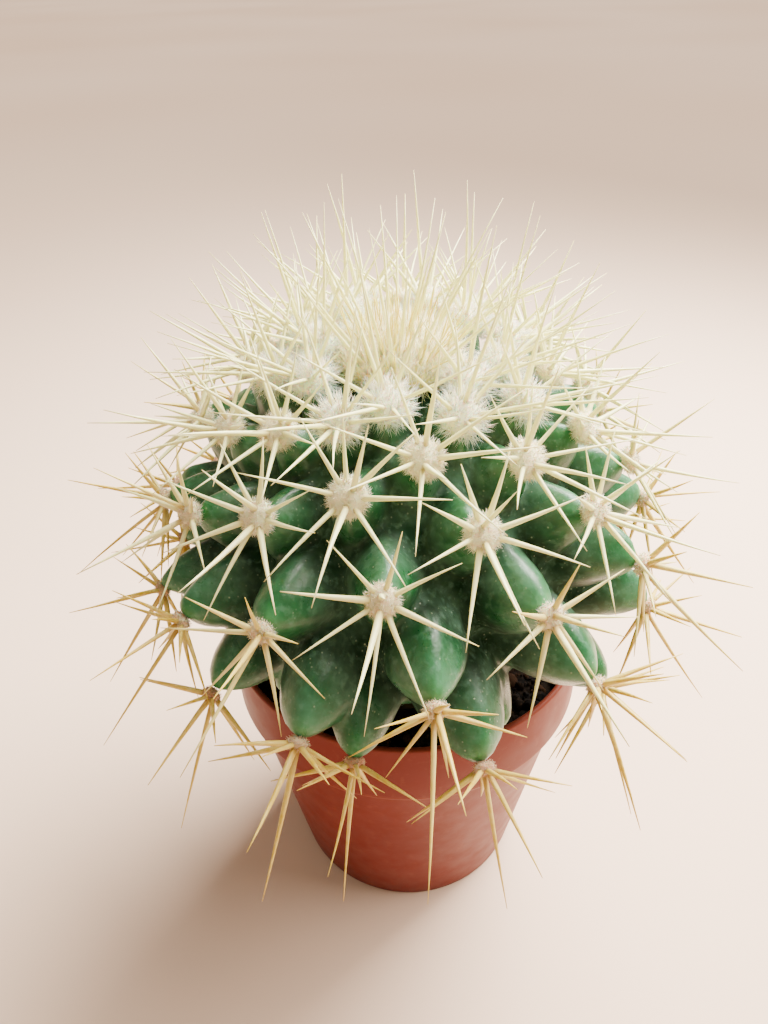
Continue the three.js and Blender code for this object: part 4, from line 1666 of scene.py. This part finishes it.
@dataclass
class CrownWool:
    """Wool of the crown: a mound over the growing point and its youngest cushions."""

    mound: tuple[float, float] = (7.4, 2.9)  # Half width and half height of the mound.
    mound_at: float = 29.0  # Distance of the mound's middle from the body's centre.
    over: float = 0.3  # How far a cushion's middle lies over the skin, in cushion heights.
    wider: float = 1.05  # Breadth of a cushion, in the solid's.
    higher: float = 0.75  # Half height of a cushion, in the solid's height.
    # Length of the wool hairs on the mound and on the cushions.
    hair: tuple[float, float] = (2.2, 1.5)
    # How much the hairs turn upward on the mound and on the cushions.
    upright: tuple[float, float] = (0.8, 0.3)
    gold: float = 0.75  # How golden the mound is.
    fuzz: FuzzTree = field(
        default_factory=lambda: FuzzTree(
            density=13, hair_radius=0.055, joints=2, curl=0.9, spread=0.6, seed=8
        )
    )
    finish: WoollyFelt = field(
        default_factory=lambda: WoollyFelt(
            young="#fffcd2", shade="#f8f0b2", golden="#ece070", sheen=1.0, through=0.8
        )
    )

    def build(self) -> list[Piece]:
        """Grows the mound and the crown's cushions as one piece.

        Returns:
            The wool.
        """
        owners = FORM.tubercles(FORM.first_crown)
        feet = [FORM.foot(t, self.over * t.felt_height) for t in owners]
        count = len(owners)
        wide = [self.mound[0], *[t.felt_radius * self.wider for t in owners]]
        high = [self.mound[1], *[t.felt_height * self.higher for t in owners]]
        upright = [UP * self.upright[0], *[UP * self.upright[1]] * count]
        points = mesh_of(
            "wool_points",
            FORM.in_pot(np.array([UP * self.mound_at, *feet])),
            aim=FORM.turned(np.array([UP, *[t.axis for t in owners]])),
            wide=np.array(wide) * MM,
            high=np.array(high) * MM,
            hair=np.array([self.hair[0], *[self.hair[1]] * count]) * MM,
            grow=FORM.turned(np.array(upright)),
            age=np.zeros(count + 1),
            gold=np.array([self.gold, *[0.0] * count]),
        )
        piece = self.fuzz.grow("crown_wool", self.finish, points)
        return [settled(piece, ["crown"])]


@dataclass
class CrownBristles:
    """Golden young spines that stand close together in the middle of the crown."""

    count: int = 130
    breadth: float = 5.2  # Radius of the patch that they stand on.
    base: float = 30.2  # Height of their roots over the body's centre.
    dome: float = 1.6  # How much lower the outermost stand.
    length: tuple[float, float] = (5.5, 8.5)  # Length in the middle and at the edge.
    uneven: tuple[float, float] = (0.6, 1.15)  # Shortest and longest, as shares of that.
    splay: float = 26  # Tilt of the outermost.
    stray: float = 0.2  # How far they stray in the spiral and in their tilt, in radians.
    radius: float = 0.17
    varied: tuple[float, float] = (0.8, 1.2)  # Least and largest radius, as shares of that.
    bow: float = 0.05  # Bow, as a share of the length.
    sides: int = 5
    # How golden they are in the middle, how much less at the edge, and how varied.
    gold: tuple[float, float, float] = (1.05, 0.7, 0.15)
    seed: int = 77
    finish: HornySpine = field(
        default_factory=lambda: HornySpine(
            young="#e8dc66", old="#d0b42c", root="#c4a440", point="#b8922c"
        )
    )

    def build(self) -> list[Piece]:
        """Grows the bristles in a spiral patch.

        Returns:
            The bristles.
        """
        chance = np.random.default_rng(self.seed)
        count = self.count
        share = np.sqrt((np.arange(count) + 0.5) / count)
        turn = GOLDEN_TURN * np.arange(count) + chance.normal(0, self.stray, count)
        level = np.stack([np.cos(turn), np.sin(turn)], axis=1)
        height = self.base - self.dome * share**2
        roots = np.column_stack([level * (share * self.breadth)[:, None], height])
        tilt = np.radians(self.splay) * share + chance.normal(0, self.stray, count)
        aim = np.column_stack([level * np.sin(tilt)[:, None], np.cos(tilt)])
        long = self.length[0] + (self.length[1] - self.length[0]) * share
        long = long * chance.uniform(*self.uneven, count)
        sideways = unit(np.cross(aim, chance.normal(size=aim.shape)))
        thick = self.radius * chance.uniform(*self.varied, count)
        golden, less, differ = self.gold
        gold = golden - share * less + chance.normal(0, differ, count)
        points = mesh_of(
            "bristle_points",
            FORM.in_pot(roots),
            aim=FORM.turned(aim),
            long=long * MM,
            thick=thick * MM,
            bow=FORM.turned(sideways) * (long * self.bow)[:, None] * MM,
            gold=np.clip(gold, 0, 1),
        )
        bristles = SpineTree(sides=self.sides)
        piece = bristles.grow("crown_bristles", self.finish, points)
        return [settled(piece)]


# Pot and peat


def revolved(name: str, rings: Sequence[Array]) -> Mesh:
    """Joins rings of points to a closed skin, with a pole at each end.

    Args:
        name: The mesh's name.
        rings: Rings of equal count, anticlockwise from above, or single points for poles.

    Returns:
        The mesh.
    """
    rings = [np.atleast_2d(r) for r in rings]
    starts = np.cumsum([0, *map(len, rings)])
    faces: list[tuple[int, ...]] = []
    for k in range(len(rings) - 1):
        a, b = starts[k], starts[k + 1]
        low, high = len(rings[k]), len(rings[k + 1])
        for i in range(max(low, high)):
            j = (i + 1) % max(low, high)
            if low == 1:
                faces.append((a, b + j, b + i))
            elif high == 1:
                faces.append((a + i, a + j, b))
            else:
                faces.append((a + i, a + j, b + j, b + i))
    return mesh_of(name, np.concatenate(rings), faces)


@dataclass
class PlasticPot:
    """The small tapering pot with its rim band and drain holes."""

    height: float = 50
    rim_radius: float = 27.5
    base_radius: float = 20
    band: float = 11  # Height of the rim band.
    step: float = 1.2  # How far the band stands out.
    wall: float = 0.9
    floor: float = 1.2
    # Number, radius and ring radius of the drain holes.
    drains: tuple[int, float, float] = (5, 2.6, 12)
    drain_sides: int = 32
    past: float = 1  # How far the drill goes past the floor on each side.
    sides: int = 144
    corner: float = 0.55
    corner_steps: int = 3  # Steps round a corner.
    room: float = 0.45  # Share of a short side that a corner's rounding can take.
    straight: float = 1.5  # Half angle, in radians, from which a corner counts as none.
    sharp: float = 50  # Angle from which an edge stays sharp.
    finish: MouldedPolypropylene = field(default_factory=MouldedPolypropylene)

    def rounded(self, profile: Array) -> Array:
        """Rounds the inner corners of a profile.

        Args:
            profile: Radius and height of each corner.

        Returns:
            The finer profile.
        """
        out = [profile[0]]
        for before, corner, after in zip(profile, profile[1:], profile[2:]):
            to, on = before - corner, after - corner
            room = self.room * min(np.linalg.norm(to), np.linalg.norm(on))
            half = math.acos(np.clip(unit(to) @ unit(on), -1, 1)) / 2
            back = min(self.corner / math.tan(half), room) if half < self.straight else 0.0
            start, end = corner + unit(to) * back, corner + unit(on) * back
            for s in np.linspace(0, 1, self.corner_steps + 1):
                out.append((1 - s) ** 2 * start + 2 * s * (1 - s) * corner + s**2 * end)
        return np.array([*out, profile[-1]])

    def profile(self) -> Array:
        """Outline from the middle of the underside round the wall to the floor inside.

        Returns:
            Radius and height of each corner.
        """
        under = self.height - self.band
        inside = self.rim_radius - self.wall
        at_band = self.rim_radius - self.step
        corners = [
            (0.0, 0.0),
            (self.base_radius, 0.0),
            (at_band, under),
            (self.rim_radius, under),
            (self.rim_radius, self.height),
            (inside, self.height),
            (inside, under + self.wall),
            (at_band - self.wall, under),
            (self.base_radius - self.wall, self.floor),
            (0.0, self.floor),
        ]
        return self.rounded(np.array(corners))

    def drill(self, piece: Piece) -> None:
        """Cuts the drain holes through the floor.

        Args:
            piece: The turned pot.
        """
        count, radius, away = self.drains
        low, high = -self.past, self.floor + self.past
        outline = (0, low), (radius, low), (radius, high), (0, high)
        for k in range(count):
            turn = 2 * math.pi * (k + 0.5) / count
            shift = np.array([away * math.cos(turn), away * math.sin(turn), 0.0])
            rings = [shift + ring(r, z, self.drain_sides) for r, z in outline]
            plug = object_of("drain", revolved("drain", rings))
            cut = piece.modifiers.new("drain", "BOOLEAN")
            cut.object, cut.operation, cut.solver = plug, "DIFFERENCE", "EXACT"
            evaluated(piece)
            bpy.data.objects.remove(plug)

    def build(self) -> list[Piece]:
        """Turns the wall, drills the floor and dresses the pot.

        Returns:
            The pot.
        """
        rings = [ring(r, z, self.sides) for r, z in self.profile()]
        piece = object_of("plastic_pot", revolved("plastic_pot", rings))
        self.drill(piece)
        piece.data.materials.clear()
        piece.data.materials.append(self.finish.material())
        piece.data.shade_smooth()
        piece.data.set_sharp_from_angle(angle=math.radians(self.sharp))
        return [settled(piece, ["pot"])]


@dataclass
class PeatFill:
    """Peat in the pot, with loose crumbs on its top."""

    pot: PlasticPot
    below_rim: float = 5.5  # Depth of the peat's edge under the rim.
    mound: float = 0.8  # How much higher it is at the plant.
    gap: float = 0.3  # Clearance to the pot and to the neck.
    steps: int = 16  # Rings of the top from the neck to the wall.
    unevenness: float = 1.6  # Height of the clods on top.
    # Scale, dimension, lacunarity and octaves of the clods.
    clods: tuple[float, float, float, int] = (0.45, 1.0, 2.0, 4)
    # How fast the clods rise from neck and wall, and how high they are there.
    levelled: tuple[float, float] = (6, 0.3)
    crumbs: float = 1.1  # Crumbs a square millimetre.
    crumb: tuple[float, float] = (0.28, 1.7)  # Smallest and largest crumb.
    few: float = 4  # Power by which large crumbs are fewer.
    # Least and largest shape of a crumb, in its sizes.
    flat: tuple[tuple[float, ...], ...] = ((0.6, 0.6, 0.4), (1.3, 1.3, 1.0))
    # Largest turn of a crumb about each axis, in radians.
    turned: tuple[float, ...] = (6.28, 6.28, 6.28)
    roundness: int = 2  # Subdivisions of a crumb's ball.
    # Width, height and octaves of a crumb's own roughness.
    rough: tuple[float, float, float] = (0.7, 1.0, 2)
    sides: int = 120
    seed: int = 3
    finish: DampPeat = field(default_factory=DampPeat)

    def top_rings(self) -> list[Array]:
        """Uneven rings of the peat's top, from the neck's hole to the wall.

        Returns:
            The rings.
        """
        edge = self.pot.rim_radius - self.pot.wall - self.gap
        hole = FORM.neck[0] + self.gap
        level = self.pot.height - self.below_rim
        lean = FORM.placed().to_3x3() @ Vector((0, 0, 1))
        middle = np.array([FORM.plant_x, 0]) - np.array(lean[:2]) * self.below_rim
        scale, *clods = self.clods
        rise, least = self.levelled
        rings = []
        for s in np.linspace(0, 1, self.steps):
            flat = middle * (1 - s) + ring(hole + (edge - hole) * s, 0, self.sides)[:, :2]
            base = level + self.mound * max(0.0, 1 - 2 * s)
            rough = [noise.fractal(Vector((x, y, 0)) * scale, *clods) for x, y in flat]
            keep = min(1.0, rise * s, rise * (1 - s) + least)
            high = base + np.array(rough) * self.unevenness * keep * MEAN
            rings.append(np.column_stack([flat, high]))
        return rings

    def crumb_tree(self) -> Growth:
        """The tree that strews crumbs over the peat's top.

        Returns:
            The tree, ready to run on the peat's top.
        """
        growth = Growth(
            "peat_crumbs",
            density=self.crumbs / MM**2,
            smallest=self.crumb[0] * MM,
            largest=self.crumb[1] * MM,
            rough_scale=1 / (self.rough[0] * MM),
            rough=self.rough[1] * MM,
            seed=self.seed,
            finish=self.finish.material(),
        )
        tree, given = growth.tree, growth.given
        wires = {"Density": given["density"], "Seed": given["seed"]}
        places = add(tree, Node.SCATTER, given["Geometry"], wires)
        tone = add(tree, Node.CHANCE, {SEED: Draw.CRUMB_TONE}, out=DRAWN)
        places = add(tree, Node.STORE, places, {"Name": "tone", "Value": tone})
        turn, shape = (
            add(tree, Node.CHANCE, least, most, {SEED: seed}, data_type="FLOAT_VECTOR")
            for least, most, seed in (
                ((0.0, 0.0, 0.0), self.turned, Draw.CRUMB_TURN),
                (*self.flat, Draw.CRUMB_SHAPE),
            )
        )
        share = add(tree, Node.CHANCE, {SEED: Draw.CRUMB_SIZE}, out=DRAWN)
        share = add(tree, Node.MATH, share, self.few, operation="POWER")
        limits = {"To Min": given["smallest"], "To Max": given["largest"]}
        size = add(tree, Node.RANGE, share, limits)
        size = add(tree, Node.VECTOR, shape, {"Scale": size}, operation="SCALE")
        ball = add(tree, Node.BALL, 1.0, self.roundness)
        crumbs = growth.planted(places, ball, turn, size)
        detail = self.rough[2]
        growth.end(growth.shaken(crumbs, given["rough_scale"], detail, given["rough"]))
        return growth

    def build(self) -> list[Piece]:
        """Fills the pot and strews the crumbs.

        Returns:
            The peat and its crumbs.
        """
        pot, top = self.pot, self.top_rings()
        lean = np.array(FORM.placed().to_3x3() @ Vector((0, 0, 1)))
        bottom = np.array([FORM.plant_x, 0, FORM.pot_height]) - lean * (FORM.neck[1] + self.gap)
        under = pot.height - pot.band
        low = pot.floor + self.gap
        outline = (
            (0, low),
            (pot.base_radius - pot.wall - self.gap, low),
            (pot.rim_radius - pot.step - pot.wall - self.gap, under),
            (pot.rim_radius - pot.wall - self.gap, under + pot.wall),
        )
        rings = [
            *[ring(r, z, self.sides) for r, z in outline],
            *top[::-1],
            bottom + ring(FORM.neck[0] + self.gap, 0, self.sides),
            bottom,
        ]
        fill_up = object_of("peat_fill", revolved("peat_fill", rings))
        fill_up.data.materials.append(self.finish.material())
        fill_up.data.shade_smooth()
        bed = revolved("crumb_bed", top[1:-1][::-1])
        crumbs = self.crumb_tree().run("peat_crumbs", bed)
        return [settled(fill_up, ["soil"]), settled(crumbs)]


# Camera, floor and light


@dataclass(frozen=True)
class Lamp:
    """One soft lamp."""

    name: str
    place: tuple[float, float, float]  # Where it hangs.
    size: tuple[float, float]  # Width and height of its face.
    power: float  # Its power in watts.
    colour: str


@dataclass
class Studio:
    """The photograph's camera, a plain pale floor and soft light."""

    camera_at: tuple[float, float, float] = (0, -89.97, 134.34)
    pitch: float = 36.06  # How far the camera looks down.
    yaw: float = -1.87  # How far it looks to the left of +Y.
    roll: float = -1.73  # How far it is tilted.
    focal: float = 767 / 1024  # Focal length, in image heights of 1024 pixels.
    sensor: float = 36  # Long side of the sensor.
    # Nearest and farthest distance that the camera sees, in metres.
    clip: tuple[float, float] = (0.005, 50)
    floor_size: float = 12  # Breadth of the floor in metres.
    floor_cells: int = 8  # Faces along each side of the floor.
    sky: str = "#f8e8d6"  # Colour of the light from all round.
    sky_strength: float = 0.54
    # Direction that the daylight comes from.
    day_from: tuple[float, float, float] = (0.66, 0.2, 0.72)
    day_strength: float = 5.6
    day_softness: float = 54  # Angle that the daylight spreads over.
    day_colour: str = "#fff6ec"
    lamps: tuple[Lamp, ...] = (
        Lamp("window", (110, 120, 260), (200, 200), 6.2, "#fffaf2"),
    )
    lit: tuple[float, float, float] = (0, 0, 60)  # Place that the lamps point at.
    floor: BackdropPaper = field(default_factory=BackdropPaper)

    def aimed(self) -> Matrix:
        """Matrix of the camera, in metres.

        Returns:
            The matrix.
        """
        pitch, yaw, roll = (math.radians(a) for a in (self.pitch, self.yaw, self.roll))
        ahead = math.cos(pitch)
        forward = Vector((math.sin(yaw) * ahead, math.cos(yaw) * ahead, -math.sin(pitch)))
        right = Vector((math.cos(yaw), -math.sin(yaw), 0))
        up = right.cross(forward)
        level = right * math.cos(roll) + up * math.sin(roll)
        tall = up * math.cos(roll) - right * math.sin(roll)
        turn = Matrix((level, tall, -forward)).transposed().to_4x4()
        return Matrix.Translation(Vector(self.camera_at) * MM) @ turn

    def camera(self) -> None:
        """Sets up the camera."""
        data = bpy.data.cameras.new("camera")
        data.sensor_width = self.sensor
        data.lens = self.focal * self.sensor
        data.clip_start, data.clip_end = self.clip
        camera = object_of("camera", data)
        camera.matrix_world = self.aimed()
        bpy.context.scene.camera = camera

    def light(self) -> None:
        """Hangs the lamps and lights the room."""
        for lamp in self.lamps:
            data = bpy.data.lights.new(lamp.name, "AREA")
            data.shape = "RECTANGLE"
            data.size, data.size_y = lamp.size[0] * MM, lamp.size[1] * MM
            data.energy, data.color = lamp.power, linear(lamp.colour)[:3]
            hung = object_of(lamp.name, data)
            hung.location = Vector(lamp.place) * MM
            look = Vector(self.lit) * MM - hung.location
            hung.rotation_euler = look.to_track_quat("-Z", "Y").to_euler()
        day = bpy.data.lights.new("day", "SUN")
        day.energy, day.color = self.day_strength, linear(self.day_colour)[:3]
        day.angle = math.radians(self.day_softness)
        high = object_of("day", day)
        high.rotation_euler = Vector(self.day_from).to_track_quat("Z", "Y").to_euler()
        world = bpy.data.worlds.new("room")
        world.use_nodes = True
        sky = {"Color": linear(self.sky), "Strength": self.sky_strength}
        fill(world.node_tree, world.node_tree.nodes["Background"], sky)
        bpy.context.scene.world = world

    def build(self) -> None:
        """Sets up camera, light and floor."""
        self.camera()
        self.light()
        half = self.floor_size / 2 / MM
        row = self.floor_cells + 1
        steps = np.linspace(-half, half, row)
        points = np.array([(x, y, 0.0) for y in steps for x in steps])
        starts = [i + row * j for j in range(row - 1) for i in range(row - 1)]
        faces = [(k, k + 1, k + 1 + row, k + row) for k in starts]
        floor = object_of("floor", mesh_of("floor", points, faces))
        floor.data.materials.append(self.floor.material())


def main() -> None:
    """Builds and dresses the part and its studio, and reports each piece."""
    logging.basicConfig(level=logging.INFO, format="%(message)s")
    Studio().build()
    pot = PlasticPot()
    makers: list[Callable[[], list[Piece]]] = [
        pot.build,
        PeatFill(pot).build,
        BarrelBody().build,
        AreoleFelt().build,
        SpineCover().build,
        CrownWool().build,
        CrownBristles().build,
    ]
    for make in makers:
        for piece in make():
            triangles = sum(len(face.vertices) - 2 for face in piece.data.polygons)
            log.info("%s: %d triangles", piece.name, triangles)


if __name__ == "__main__":
    main()
